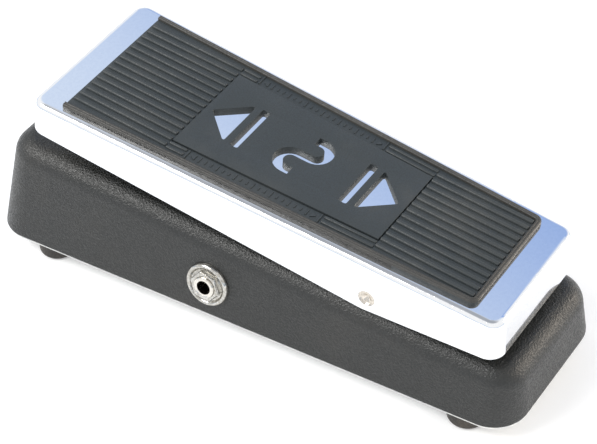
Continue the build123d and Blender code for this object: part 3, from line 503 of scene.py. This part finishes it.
WASHER = Finish(
    "washer_chrome_plate", Slot.WASHER_CHROME, (0.62, 0.61, 0.58), (0.44, 0.42, 0.38), 0.10,
    rough_spread=0.03, metallic=1.0, grain=1.0, grain_height=0.002,
)
SWITCH = Finish(
    "switch_moulding", Slot.SWITCH_CASE, (0.10, 0.16, 0.30), (0.08, 0.13, 0.26), 0.45, grain=0.6,
)
BRASS = Finish(
    "tinned_brass", Slot.TAG_BRASS, (0.68, 0.56, 0.32), (0.55, 0.45, 0.27), 0.32, metallic=1.0,
    grain=0.6, grain_height=0.006,
)
BOARD = Finish(
    "phenolic_board", Slot.BOARD, (0.26, 0.16, 0.06), (0.20, 0.12, 0.045), 0.45, grain=2.0,
    grain_height=0.01, dust_share=0.15,
)
MOULDING = Finish(
    "black_moulding", Slot.COMPONENT_BLACK, (0.018, 0.018, 0.019), (0.026, 0.026, 0.028), 0.40, grain=0.5,
)
FILM = Finish(
    "film_capacitor_box", Slot.CAPACITOR_FILM, (0.42, 0.12, 0.03), (0.36, 0.10, 0.025), 0.35, grain=0.8,
    grain_height=0.01, coat=0.3,
)
RESISTOR = BandedFinish(
    "resistor_lacquer", Slot.RESISTOR_BODY, (0.56, 0.42, 0.25), (0.30, 0.11, 0.04), 0.38, grain=0.8,
    grain_height=0.01, coat=0.4,
)
BATTERY = Finish(
    "battery_jacket_plain", Slot.BATTERY_JACKET, (0.05, 0.052, 0.058), (0.04, 0.042, 0.05), 0.30,
    grain=3.0, grain_height=0.01, coat=0.4,
)
FOAM = Finish(
    "open_foam", Slot.FOAM, (0.10, 0.10, 0.105), (0.04, 0.04, 0.042), 0.90, grain=0.5, grain_height=0.25,
)
WIRE_RED = Finish(
    "wire_sleeve_red", Slot.WIRE_RED, (0.42, 0.02, 0.02), (0.34, 0.015, 0.015), 0.40, grain=1.0,
    grain_height=0.01,
)
WIRE_GREY = Finish(
    "wire_sleeve_grey", Slot.WIRE_GREY, (0.30, 0.30, 0.31), (0.24, 0.24, 0.25), 0.42, grain=1.0,
    grain_height=0.01,
)
PIN = Finish(
    "pin_ground_steel", Slot.PIN_STEEL, (0.74, 0.68, 0.60), (0.62, 0.57, 0.50), 0.24, metallic=1.0,
    grain=0.7, grain_height=0.006,
)
NYLON = Finish(
    "natural_nylon", Slot.NYLON, (0.72, 0.70, 0.62), (0.66, 0.64, 0.56), 0.38, grain=0.8,
    grain_height=0.01, coat=0.15,
)

CAD_FINISHES: dict[str, Finish] = {
    "housing": PAINT, "bottom_plate": PLATE, "feet": RUBBER, "foot_screws": ZINC, "treadle": CHROME,
    "toe_pad": RUBBER, "heel_pads": RUBBER, "hinge_pin": PIN, "hinge_bushes": BRONZE,
    "friction_washers": NYLON, "rack": NYLON, "rack_pin": ZINC, "rack_guide": SPRING, "pinion": NYLON,
    "pinion_shaft": PIN, "pot_case": CAN, "pot_nut": NICKEL, "pot_bracket": ZINC,
    "bracket_screws": ZINC, "switch_case": SWITCH, "switch_tags": BRASS, "switch_nuts": NICKEL,
    "switch_washer": NICKEL, "switch_plunger": NICKEL, "output_jack": NICKEL,
    "output_jack_springs": SPRING, "input_jack": NICKEL, "input_jack_springs": SPRING,
    "circuit_board": BOARD, "board_screws": ZINC, "inductor": MOULDING, "transistors": MOULDING,
    "film_capacitors": FILM, "electrolytic_capacitors": MOULDING, "resistors": RESISTOR,
    "battery": BATTERY, "battery_terminals": NICKEL, "snap_connector": MOULDING, "battery_pad": FOAM,
    "battery_clip": SPRING, "clip_rivet": ZINC, "battery_leads": WIRE_RED, "pot_wires": WIRE_GREY,
    "switch_wires": WIRE_GREY,
}


@dataclass
class Paintshop:
    """Keeps each finish's material, so that it is built once."""

    effects: Effects = field(default_factory=Effects.build)
    stock: dict[str, bpy.types.Material] = field(default_factory=dict)

    def material(self, finish: Finish) -> bpy.types.Material:
        """The material of a finish."""
        if finish.name not in self.stock:
            self.stock[finish.name] = finish.material(self.effects)
        return self.stock[finish.name]

    def dress_cad(self) -> None:
        """Gives every CAD node that shows its finish."""
        for name, finish in CAD_FINISHES.items():
            for place in frame["nodes"][name].material_slots:
                place.material = self.material(finish)
            LOG.info("dressed %s in %s", name, finish.name)


# ---------------------------------------------------------------- mesh helpers


def verts_of(geom: Iterable[object]) -> list[bmesh.types.BMVert]:
    """The vertices among an operator's results."""
    return [g for g in geom if isinstance(g, bmesh.types.BMVert)]


def edges_of(geom: Iterable[object]) -> list[bmesh.types.BMEdge]:
    """The edges among an operator's results."""
    return [g for g in geom if isinstance(g, bmesh.types.BMEdge)]


def polyline_loop(
    bm: bmesh.types.BMesh, points: Iterable[Point], height: float = 0.0
) -> list[bmesh.types.BMEdge]:
    """Draws a closed outline of straight edges.

    Args:
        bm: The mesh to draw in.
        points: Corners in order.
        height: The outline's height.

    Returns:
        Its edges.
    """
    verts = [bm.verts.new((x, y, height)) for x, y in points]
    return [bm.edges.new((a, b)) for a, b in zip(verts, verts[1:] + verts[:1])]


def rounded(points: Sequence[Point], radius: float, segments: int = 5) -> list[Point]:
    """Rounds every corner of a convex or concave outline.

    Args:
        points: Corners in order.
        radius: The corners' radius.
        segments: Pieces in each rounded corner.

    Returns:
        The rounded outline's points in order.
    """
    made = bmesh.new()
    face = made.faces.new([made.verts.new((x, y, 0.0)) for x, y in points])
    turn = []
    for corner in face.loops:
        turn.append(corner.calc_angle())
    for vert, angle in zip(list(face.verts), turn):
        reach = radius / math.tan(angle / 2)
        bmesh.ops.bevel(
            made, geom=[vert], offset=reach, segments=segments, profile=0.5, affect="VERTICES", material=-1,
            offset_type="OFFSET",
        )
    made.faces.ensure_lookup_table()
    outline = [(loop.vert.co.x, loop.vert.co.y) for loop in made.faces[0].loops]
    made.free()
    return outline


def top_rim(bm: bmesh.types.BMesh, height: float, tolerance: float = 1e-4) -> list[bmesh.types.BMEdge]:
    """Edges at a height where a flat top meets an upright wall."""
    found = []
    for edge in bm.edges:
        level = all(abs(v.co.z - height) < tolerance for v in edge.verts)
        if level and len(edge.link_faces) == 2 and edge.calc_face_angle(0.0) > math.radians(45):
            found.append(edge)
    return found


def slab(
    outlines: Sequence[Sequence[Point]], low: float, high: float, edge: float, segments: int = 3
) -> bmesh.types.BMesh:
    """Flat slab with openings: outlines are filled, thickened and eased along their upper edges.

    Args:
        outlines: The outer outline, then one for each opening.
        low: Height of the underside.
        high: Height of the top.
        edge: Radius of the eased upper edges.
        segments: Pieces in the easing.

    Returns:
        The slab's mesh.
    """
    bm = bmesh.new()
    edges = [e for outline in outlines for e in polyline_loop(bm, outline, low)]
    bmesh.ops.triangle_fill(bm, use_beauty=True, use_dissolve=False, edges=edges)
    made = bmesh.ops.extrude_face_region(bm, geom=bm.faces[:] + bm.edges[:] + bm.verts[:])
    raised = [g for g in made["geom"] if isinstance(g, bmesh.types.BMVert)]
    bmesh.ops.translate(bm, verts=raised, vec=(0.0, 0.0, high - low))
    bmesh.ops.recalc_face_normals(bm, faces=bm.faces)
    if edge:
        bmesh.ops.bevel(
            bm, geom=top_rim(bm, high), offset=edge, offset_type="OFFSET", segments=segments, profile=0.5,
            affect="EDGES", material=-1, clamp_overlap=True,
        )
    return bm


def lathe(profile: Sequence[Point], steps: int = 64) -> bmesh.types.BMesh:
    """Turns a closed profile of radius and height about Z.

    Args:
        profile: Radius and height pairs, in order round the section.
        steps: Pieces in the turn.

    Returns:
        The turned mesh.
    """
    bm = bmesh.new()
    verts = [bm.verts.new((r, 0.0, z)) for r, z in profile]
    edges = [bm.edges.new((a, b)) for a, b in zip(verts, verts[1:] + verts[:1])]
    bmesh.ops.spin(
        bm, geom=verts + edges, cent=(0, 0, 0), axis=(0, 0, 1), angle=2 * math.pi, steps=steps,
        use_merge=True,
        use_duplicate=False,
    )
    bmesh.ops.remove_doubles(bm, verts=bm.verts, dist=1e-5)
    bmesh.ops.recalc_face_normals(bm, faces=bm.faces)
    return bm


def bar(bm: bmesh.types.BMesh, low: Sequence[float], high: Sequence[float], edge: float = 0.0) -> None:
    """Adds a straight bar between two corners, with eased upper edges."""
    made = bmesh.ops.create_cube(bm, size=1.0)["verts"]
    size = [b - a for a, b in zip(low, high)]
    centre = [(a + b) / 2 for a, b in zip(low, high)]
    bmesh.ops.scale(bm, verts=made, vec=size)
    bmesh.ops.translate(bm, verts=made, vec=centre)
    if edge:
        tops = {e for v in made for e in v.link_edges if all(w.co.z > centre[2] for w in e.verts)}
        bmesh.ops.bevel(
            bm, geom=list(tops), offset=edge, offset_type="OFFSET", segments=2, profile=0.5, affect="EDGES",
            material=-1,
        )


@dataclass
class Maker:
    """Turns finished meshes into pieces that ride on the frame."""

    shop: Paintshop

    def piece(
        self, bm: bmesh.types.BMesh, name: str, finish: Finish, body: Body, place: Matrix, sharp: float = 35.0
    ) -> bpy.types.Object:
        """Makes a piece from a mesh in its own frame.

        Args:
            bm: The mesh, in millimetres.
            name: The piece's name.
            finish: Its finish.
            body: The body that it rides on.
            place: The piece's own frame in the shared frame, metres.
            sharp: Degrees past which an edge stays crisp.

        Returns:
            The piece.
        """
        bm.transform(place @ Matrix.Diagonal((MM, MM, MM, 1.0)))
        mesh = bpy.data.meshes.new(name)
        bm.to_mesh(mesh)
        bm.free()
        mesh.shade_smooth()
        mesh.set_sharp_from_angle(angle=math.radians(sharp))
        made = bpy.data.objects.new(name, mesh)
        bpy.context.scene.collection.objects.link(made)
        mesh.materials.append(self.shop.material(finish))
        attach(made, body.value)
        LOG.info("made %s: %d faces", name, len(mesh.polygons))
        return made


# ---------------------------------------------------------------- tread mat


@dataclass
class TreadMat:
    """Rubber mat on the treadle: ribbed ends, a smooth panel with three openings, side strips and a rim.

    Its own frame has X across, Y towards the toe and Z up from the top of the mat.
    """

    maker: Maker
    origin: tuple[float, float, float] = (0.0, -8.0, 75.3)
    tilt: float = 5.9
    length: float = 193.8
    half_width: float = 31.1
    taper: float = 0.0351
    corner: float = 3.5
    thickness: float = 2.5
    base: float = 1.3
    rim: float = 2.4
    rib_pitch: float = 3.92
    rib_radius: float = 1.1
    toe_ribs: int = 7
    heel_ribs: int = 6
    panel: tuple[float, float] = (-48.8, 48.4)
    panel_half: float = 22.4
    panel_taper: float = 0.032
    panel_depth: float = 0.5
    strip: tuple[float, float] = (-24.0, 39.0)
    groove: float = 0.35
    mark_corner: float = 0.8
    mark_centre: float = 3.1
    mark_root: float = 0.1
    ticks: int = 19
    tick_half: float = 0.28
    tick_height: float = 0.35
    border_half: float = 0.3
    border_height: float = 0.55
    pointer_height: float = 0.45
    pointer: tuple[Point, ...] = ((-1.5, -0.9), (1.5, -0.9), (0.0, 1.3))

    @property
    def ground(self) -> float:
        """Height of the mat's ground between its ribs."""
        return self.base - self.thickness

    def place(self) -> Matrix:
        """The mat's frame in the shared frame."""
        return Matrix.Translation(Vector(self.origin) * MM) @ Matrix.Rotation(math.radians(self.tilt), 4, "X")

    def half_at(self, y: float, inset: float = 0.0) -> float:
        """Half width of the mat at a place along it."""
        return self.half_width + self.taper * y - inset

    def panel_half_at(self, y: float) -> float:
        """Half width of the smooth panel at a place along it."""
        return self.panel_half + self.panel_taper * y

    def outline(self, inset: float = 0.0) -> list[Point]:
        """The mat's outline, rounded at its corners."""
        end = self.length / 2 - inset
        wide, narrow = self.half_at(end, inset), self.half_at(-end, inset)
        return rounded([(wide, end), (-wide, end), (-narrow, -end), (narrow, -end)], self.corner - inset)

    def panel_outline(self, grow: float) -> list[Point]:
        """The panel's outline, grown or shrunk."""
        low, high = self.panel[0] - grow, self.panel[1] + grow
        wide, narrow = self.panel_half_at(high) + grow, self.panel_half_at(low) + grow
        return [(wide, high), (-wide, high), (-narrow, low), (narrow, low)]

    def arrow(self, end: End) -> list[list[Point]]:
        """Openings of an arrowhead and the bar behind it."""
        half, width, gap, reach, base = 12.5, 3.8, 3.2, 14.0, 31.5 * end.value
        head = [(-half, base), (half, base), (0.0, base + end.value * reach)]
        near = base - end.value * gap
        far = near - end.value * width
        behind = [(-half, near), (half, near), (half, far), (-half, far)]
        return [rounded(head, self.mark_corner, 4), rounded(behind, self.mark_corner, 4)]

    def wave(self) -> list[Point]:
        """Opening of one period of a wave, turned from a short edge."""
        radius, band, rise = 5.2, 4.4, 3.2
        bm = bmesh.new()
        edge = [bm.verts.new((-2 * radius - band / 2, 0, 0)), bm.verts.new((-2 * radius + band / 2, 0, 0))]
        front = [bm.edges.new(edge)]

        def run(dy: float) -> None:
            """Carries the front edge straight along."""
            made = bmesh.ops.extrude_edge_only(bm, edges=front)["geom"]
            bmesh.ops.translate(bm, verts=verts_of(made), vec=(0, dy, 0))
            front[:] = edges_of(made)

        def turn(centre: float, level: float, angle: float) -> None:
            """Carries the front edge round a half turn."""
            made = bmesh.ops.spin(
                bm, geom=front, cent=(centre, level, 0), axis=(0, 0, 1), angle=angle, steps=14,
            )["geom_last"]
            front[:] = edges_of(made)

        run(rise)
        turn(-radius, rise, -math.pi)
        run(-2 * rise)
        turn(radius, -rise, math.pi)
        run(rise)
        bmesh.ops.remove_doubles(bm, verts=bm.verts, dist=1e-4)
        bmesh.ops.dissolve_faces(bm, faces=bm.faces, use_verts=False)
        bm.faces.ensure_lookup_table()
        points = [(loop.vert.co.x, loop.vert.co.y) for loop in bm.faces[0].loops]
        bm.free()
        return points

    def openings(self) -> list[list[Point]]:
        """Outlines of all openings through the panel."""
        return [*self.arrow(End.TOE), self.wave(), *self.arrow(End.HEEL)]

    def make_base(self) -> bpy.types.Object:
        """The mat's thin ground, with room for the panel."""
        outlines = [self.outline(), self.panel_outline(self.groove)]
        bm = slab(outlines, -self.thickness, self.ground, 0.25)
        return self.maker.piece(bm, "mat_ground", MAT, Body.TREADLE, self.place())

    def make_panel(self) -> bpy.types.Object:
        """The smooth panel with its openings."""
        outlines = [self.panel_outline(0.0), *self.openings()]
        bm = slab(outlines, -self.thickness, -self.panel_depth, 0.3)
        return self.maker.piece(bm, "mat_panel", MAT, Body.TREADLE, self.place())

    def rib(self, bm: bmesh.types.BMesh, x0: float, y0: float, x1: float, y1: float, radius: float) -> None:
        """Adds a half-sunk rib with eased ends between two points on the ground."""
        made = bmesh.ops.create_cone(
            bm, cap_ends=True, cap_tris=False, segments=20, radius1=radius, radius2=radius,
            depth=math.hypot(x1 - x0, y1 - y0),
        )["verts"]
        rims = {e for v in made for e in v.link_edges if abs(e.verts[0].co.z - e.verts[1].co.z) < 1e-6}
        beveled = bmesh.ops.bevel(
            bm, geom=list(rims), offset=0.45, offset_type="OFFSET", segments=3, profile=0.5, affect="EDGES",
            material=-1,
        )
        whole = set(made) | set(beveled["verts"])
        whole = [v for v in whole if v.is_valid]
        heading = Matrix.Rotation(math.atan2(x0 - x1, y1 - y0), 4, "Z")
        lying = Matrix.Rotation(math.pi / 2, 4, "X")
        place = Matrix.Translation(((x0 + x1) / 2, (y0 + y1) / 2, self.ground)) @ heading @ lying
        bmesh.ops.transform(bm, matrix=place, verts=whole)

    def make_ribs(self) -> list[bpy.types.Object]:
        """The ribs of both ends and the short ribs beside the panel."""
        made = []
        end = self.length / 2
        low, high = self.panel
        for name, count, y0, y1 in (
            ("mat_toe_ribs", self.toe_ribs, high + 0.6, end - 0.9),
            ("mat_heel_ribs", self.heel_ribs, -end + self.rim + 0.3, low - 0.6),
        ):
            bm = bmesh.new()
            for k in range(-count, count + 1):
                self.rib(bm, k * self.rib_pitch, y0, k * self.rib_pitch, y1, self.rib_radius)
            made.append(self.maker.piece(bm, name, MAT, Body.TREADLE, self.place()))
        bm = bmesh.new()
        for side in Side:
            for y0, y1 in ((low - 0.3, self.strip[0] - 1.2), (self.strip[1] + 1.2, high + 0.3)):
                for step in (1.5, 4.3):
                    x0, x1 = (side.value * (self.panel_half_at(y) + step) for y in (y0, y1))
                    self.rib(bm, x0, y0, x1, y1, 0.8)
        made.append(self.maker.piece(bm, "mat_side_ribs", MAT, Body.TREADLE, self.place()))
        return made

    def make_rim(self) -> bpy.types.Object:
        """Beaded rim along both sides and round the heel, carried from station to station, in rubber painted
        lighter and warmer as painted sheen.
        """
        profile = (
            (0.0, -2.5), (0.0, -0.75), (0.14, -0.36), (0.42, -0.1), (0.8, 0.0), (1.08, -0.06), (1.26, -0.26),
            (1.44, -0.08), (1.72, -0.02), (2.02, -0.12), (2.26, -0.42), (2.4, -0.85), (2.4, -2.5),
        )
        end = self.length / 2
        lean = math.atan(self.taper)
        stations: list[tuple[Vector, Vector]] = []
        for side in (Side.LEFT, Side.RIGHT):
            s = side.value
            out = Vector((s * math.cos(lean), -math.sin(lean)))
            corner = Vector((s * (self.half_at(-end) - self.corner), -end + self.corner))
            straight = [(Vector((s * self.half_at(y), y)), out) for y in (end, 60.0, 20.0, -20.0, -60.0)]
            arc = []
            for step in range(9):
                angle = math.pi / 2 * step / 8
                turned = Vector((s * math.cos(angle), -math.sin(angle)))
                arc.append((corner + turned * self.corner, turned))
            half = straight + arc
            stations += half if side is Side.LEFT else half[::-1]
        bm = bmesh.new()
        point, out = stations[0]
        verts = [bm.verts.new((*(point - out * across), up)) for across, up in profile]
        front = [bm.edges.new((a, b)) for a, b in zip(verts, verts[1:])]
        bmesh.ops.contextual_create(bm, geom=verts)
        for point, out in stations[1:]:
            made = bmesh.ops.extrude_edge_only(bm, edges=front)["geom"]
            front = edges_of(made)
            order = self.in_order(front)
            for vert, (across, up) in zip(order, profile):
                vert.co = (*(point - out * across), up)
        bmesh.ops.contextual_create(bm, geom=self.in_order(front))
        bmesh.ops.holes_fill(bm, edges=bm.edges, sides=0)
        bmesh.ops.recalc_face_normals(bm, faces=bm.faces)
        return self.maker.piece(bm, "mat_rim", MAT_RIM_SHEEN, Body.TREADLE, self.place(), sharp=50.0)

    @staticmethod
    def in_order(edges: Sequence[bmesh.types.BMEdge]) -> list[bmesh.types.BMVert]:
        """Vertices of an open chain of edges, from its first edge's free end on.

        Args:
            edges: The chain's edges, in order.

        Returns:
            The vertices in order.
        """
        first, second = edges[0], edges[1]
        start = next(v for v in first.verts if v not in second.verts)
        order = [start]
        for edge in edges:
            order.append(edge.other_vert(order[-1]))
        return order

    def make_marks(self) -> bpy.types.Object:
        """Raised ticks and arrowheads in the strips beside the panel, and the fine borders of the panel."""
        bm = bmesh.new()
        root = self.ground - self.mark_root
        low, high = self.strip
        for side in Side:
            s = side.value
            for y in (low, high):
                inner, outer = self.panel_half_at(y) + 0.9, self.half_at(y) - self.rim - 0.3
                x0, x1 = sorted((s * inner, s * outer))
                top = self.ground + self.border_height
                bar(bm, (x0, y - self.border_half, root), (x1, y + self.border_half, top), 0.15)
            for i in range(self.ticks):
                y = low + 6.0 + (high - low - 12.0) * i / (self.ticks - 1)
                centre = self.panel_half_at(y) + self.mark_centre
                reach = 1.6 if i % 3 == 0 else 0.9
                x0, x1 = sorted((s * (centre - reach), s * (centre + reach)))
                top = self.ground + self.tick_height
                bar(bm, (x0, y - self.tick_half, root), (x1, y + self.tick_half, top), 0.12)
            for y, way in ((low + 3.0, -1), (high - 3.0, 1)):
                centre = s * (self.panel_half_at(y) + self.mark_centre)
                verts = [bm.verts.new((centre + dx, y + way * dy, root)) for dx, dy in self.pointer]
                face = bm.faces.new(verts)
                raised = bmesh.ops.extrude_face_region(bm, geom=[face])["geom"]
                bmesh.ops.translate(bm, verts=verts_of(raised), vec=(0, 0, self.pointer_height))
        bmesh.ops.recalc_face_normals(bm, faces=bm.faces)
        return self.maker.piece(bm, "mat_marks", MAT, Body.TREADLE, self.place())

    def build(self) -> None:
        """Makes the whole mat in place of its CAD node."""
        ground = self.make_base()
        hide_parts("tread_mat")
        self.make_panel()
        self.make_ribs()
        self.make_rim()
        self.make_marks()


# ---------------------------------------------------------------- socket fittings


@dataclass
class SocketFittings:
    """Domed washer, hex nut and mouth ring of the sockets in the side walls.

    Their own frame stands on the wall's outer face, with Z out of the wall.
    """

    maker: Maker
    mouth_to_middle: float = 6.35
    mouth: float = 3.7
    across_flats: float = 12.7
    collar: float = 4.75
    nut_seat: float = 0.9
    nut_height: float = 2.25
    nut_turn: float = 0.35

    def place(self, mount_name: str) -> Matrix:
        """The wall frame of a socket, from its mount in the record."""
        mount = next(m for m in frame["record"]["mounts"] if m["name"] == mount_name)
        axis = Vector(mount["axis"]).normalized()
        middle = Vector(mount["pos_m"])
        origin = middle + axis * (self.mouth_to_middle - self.mouth) * MM
        across = Vector((0, 0, 1)).cross(axis).normalized()
        turn = Matrix((across, axis.cross(across), axis)).transposed().to_4x4()
        return Matrix.Translation(origin) @ turn

    def make_washer(self, name: str, place: Matrix) -> bpy.types.Object:
        """The domed washer."""
        profile = (
            (4.8, 0.08), (4.8, 0.9), (7.3, 0.9), (7.6, 1.0), (7.9, 1.35), (8.2, 1.75), (8.6, 1.95),
            (9.0, 1.98), (9.4, 1.82), (9.7, 1.45), (9.95, 0.95), (10.07, 0.45), (10.1, 0.08),
        )
        return self.maker.piece(lathe(profile, 96), name, WASHER, Body.HOUSING, place)

    def make_nut(self, name: str, place: Matrix) -> bpy.types.Object:
        """Hex nut with turned-off corners and a countersunk thread."""
        bm = bmesh.new()
        corner = self.across_flats / 2 / math.cos(math.pi / 6)
        outer = bmesh.ops.create_circle(bm, segments=6, radius=corner)["verts"]
        inner = bmesh.ops.create_circle(bm, segments=48, radius=self.collar + 0.02)["verts"]
        edges = list({e for v in outer + inner for e in v.link_edges})
        bmesh.ops.triangle_fill(bm, use_beauty=True, use_dissolve=False, edges=edges)
        made = bmesh.ops.extrude_face_region(bm, geom=bm.faces[:])["geom"]
        bmesh.ops.translate(bm, verts=verts_of(made), vec=(0, 0, self.nut_height))
        bmesh.ops.recalc_face_normals(bm, faces=bm.faces)
        uprights = [
            e for e in bm.edges
            if abs(e.verts[0].co.z - e.verts[1].co.z) > 1 and e.verts[0].co.xy.length > self.collar + 1
        ]
        bmesh.ops.bevel(
            bm, geom=uprights, offset=0.35, offset_type="OFFSET", segments=3, profile=0.5,
            affect="EDGES", material=-1,
        )
        bmesh.ops.bevel(
            bm, geom=top_rim(bm, self.nut_height), offset=0.38, offset_type="OFFSET", segments=3, profile=0.5,
            affect="EDGES", material=-1,
        )
        bmesh.ops.translate(bm, verts=bm.verts, vec=(0, 0, self.nut_seat))
        turn = Matrix.Rotation(self.nut_turn, 3, "Z")
        bmesh.ops.rotate(bm, verts=bm.verts, cent=(0, 0, 0), matrix=turn)
        return self.maker.piece(bm, name, WASHER, Body.HOUSING, place)

    def make_thread(self, name: str, place: Matrix) -> bpy.types.Object:
        """One turned crest on the collar that stands through the nut: a rounded mouth ring."""
        steps = ((-0.75, 3.3), (-0.75, 3.72), (-0.35, 3.86), (-0.02, 3.66), (0.03, 3.45), (-0.12, 3.3))
        profile = [(self.collar + across, up) for across, up in steps]
        return self.maker.piece(lathe(profile, 64), name, NICKEL, Body.HOUSING, place)

    def build(self) -> None:
        """Makes both sockets' fittings."""
        for socket in ("output", "input"):
            place = self.place(f"{socket}_socket")
            washer = self.make_washer(f"{socket}_dress_washer", place)
            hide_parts(f"{socket}_jack_washer")
            nut = self.make_nut(f"{socket}_hex_nut", place)
            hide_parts(f"{socket}_jack_nut")
            self.make_thread(f"{socket}_mouth_ring", place)


# ---------------------------------------------------------------- studio


@dataclass(frozen=True)
class SoftLight:
    """A soft rectangular light that faces the pedal: metres and watts."""

    name: str
    place: tuple[float, float, float]
    size: tuple[float, float]
    power: float
    color: Color


KEY = SoftLight("key", (-0.75, 0.62, 1.15), (0.9, 0.5), 12.5, (1.0, 0.99, 0.97))
HEEL_FILL = SoftLight("heel_fill", (0.85, -0.95, 0.42), (0.7, 0.6), 9.0, (1.0, 0.88, 0.74))
AIM = Vector((0.0, 0.0, 0.04))


@dataclass
class Studio:
    """Pale floor, soft lights, sky and camera."""

    floor_half: float = 4.0
    floor_color: Color = (0.93, 0.935, 0.94)
    floor_glow: float = 0.16
    horizon: Color = (0.62, 0.72, 0.86)
    overhead: Color = (0.40, 0.42, 0.46)
    pale_patch: Color = (0.66, 0.76, 0.93)
    deep_patch: Color = (0.30, 0.44, 0.78)
    patch_way: tuple[float, float, float] = (0.62, 0.24, 0.74)
    camera_place: tuple[float, float, float] = (-0.487492, -0.352520, 0.617168)
    camera_turn: tuple[float, float, float] = (45.79655, 2.16053, -56.50493)
    lens: float = 119.4035

    def make_floor(self) -> None:
        """A wide plain floor, just under the feet."""
        bm = bmesh.new()
        bmesh.ops.create_grid(bm, x_segments=1, y_segments=1, size=self.floor_half)
        mesh = bpy.data.meshes.new("floor")
        bm.to_mesh(mesh)
        bm.free()
        floor = bpy.data.objects.new("floor", mesh)
        bpy.context.scene.collection.objects.link(floor)
        made = bpy.data.materials.new("floor_paper")
        made.use_nodes = True
        shader = made.node_tree.nodes["Principled BSDF"]
        shader.inputs["Base Color"].default_value = (*self.floor_color, 1.0)
        shader.inputs["Roughness"].default_value = 0.85
        shader.inputs["Specular IOR Level"].default_value = 0.2
        shader.inputs["Emission Color"].default_value = (1.0, 1.0, 1.0, 1.0)
        shader.inputs["Emission Strength"].default_value = self.floor_glow
        mesh.materials.append(made)

    def make_sky(self) -> None:
        """White sky with a pale blue horizon, one bluish patch and a dimmer zenith."""
        world = bpy.data.worlds.new("studio_sky")
        bpy.context.scene.world = world
        world.use_nodes = True
        tree = Tree(world.node_tree)
        back = world.node_tree.nodes["Background"]
        way = tree.add("TexCoord").outputs["Generated"]
        split = tree.add("SeparateXYZ")
        tree.join(way, split.inputs[0])
        rise = tree.spread(split.outputs[2], 0.03, 0.30, 0.0, 1.0)
        color = tree.mix(rise, self.horizon, (1.0, 1.0, 1.0))
        towards = tree.add("VectorMath", operation="DOT_PRODUCT")
        tree.join(way, towards.inputs[0])
        towards.inputs[1].default_value = Vector(self.patch_way).normalized()
        patch = tree.spread(towards.outputs["Value"], 0.86, 0.975, 0.0, 1.0)
        deep = tree.spread(split.outputs[0], 0.54, 0.68, 0.0, 1.0)
        blue = tree.mix(deep, self.pale_patch, self.deep_patch)
        overhead = tree.spread(split.outputs[2], 0.84, 0.97, 0.0, 1.0)
        open_sky = tree.mix(patch, color, blue)
        tree.join(tree.mix(overhead, open_sky, self.overhead), back.inputs["Color"])
        back.inputs["Strength"].default_value = 1.0

    def add_light(self, plan: SoftLight) -> None:
        """Adds one soft light.

        Args:
            plan: The light's place, size, power and colour.
        """
        data = bpy.data.lights.new(plan.name, "AREA")
        data.shape = "RECTANGLE"
        data.size, data.size_y = plan.size
        data.energy = plan.power
        data.color = plan.color
        light = bpy.data.objects.new(plan.name, data)
        bpy.context.scene.collection.objects.link(light)
        light.location = plan.place
        light.rotation_euler = (AIM - Vector(plan.place)).to_track_quat("-Z", "Y").to_euler()

    def make_lights(self) -> None:
        """Key from above the toe's left, a warm low fill from the heel's right."""
        self.add_light(KEY)
        self.add_light(HEEL_FILL)

    def make_camera(self) -> None:
        """The camera at its measured place."""
        data = bpy.data.cameras.new("camera")
        data.lens = self.lens
        data.sensor_width = 36.0
        data.clip_start = 0.01
        camera = bpy.data.objects.new("camera", data)
        bpy.context.scene.collection.objects.link(camera)
        camera.location = self.camera_place
        camera.rotation_euler = [math.radians(a) for a in self.camera_turn]
        bpy.context.scene.camera = camera

    def build(self) -> None:
        """Sets up the whole studio."""
        bpy.context.scene.view_settings.view_transform = "Standard"
        self.make_floor()
        self.make_sky()
        self.make_lights()
        self.make_camera()


def main() -> None:
    """Builds the pedal's looks and its studio."""
    logging.basicConfig(level=logging.INFO, format="%(name)s: %(message)s")
    shop = Paintshop()
    maker = Maker(shop)
    shop.dress_cad()
    TreadMat(maker).build()
    SocketFittings(maker).build()
    Studio().build()


if __name__ == "__main__":
    main()
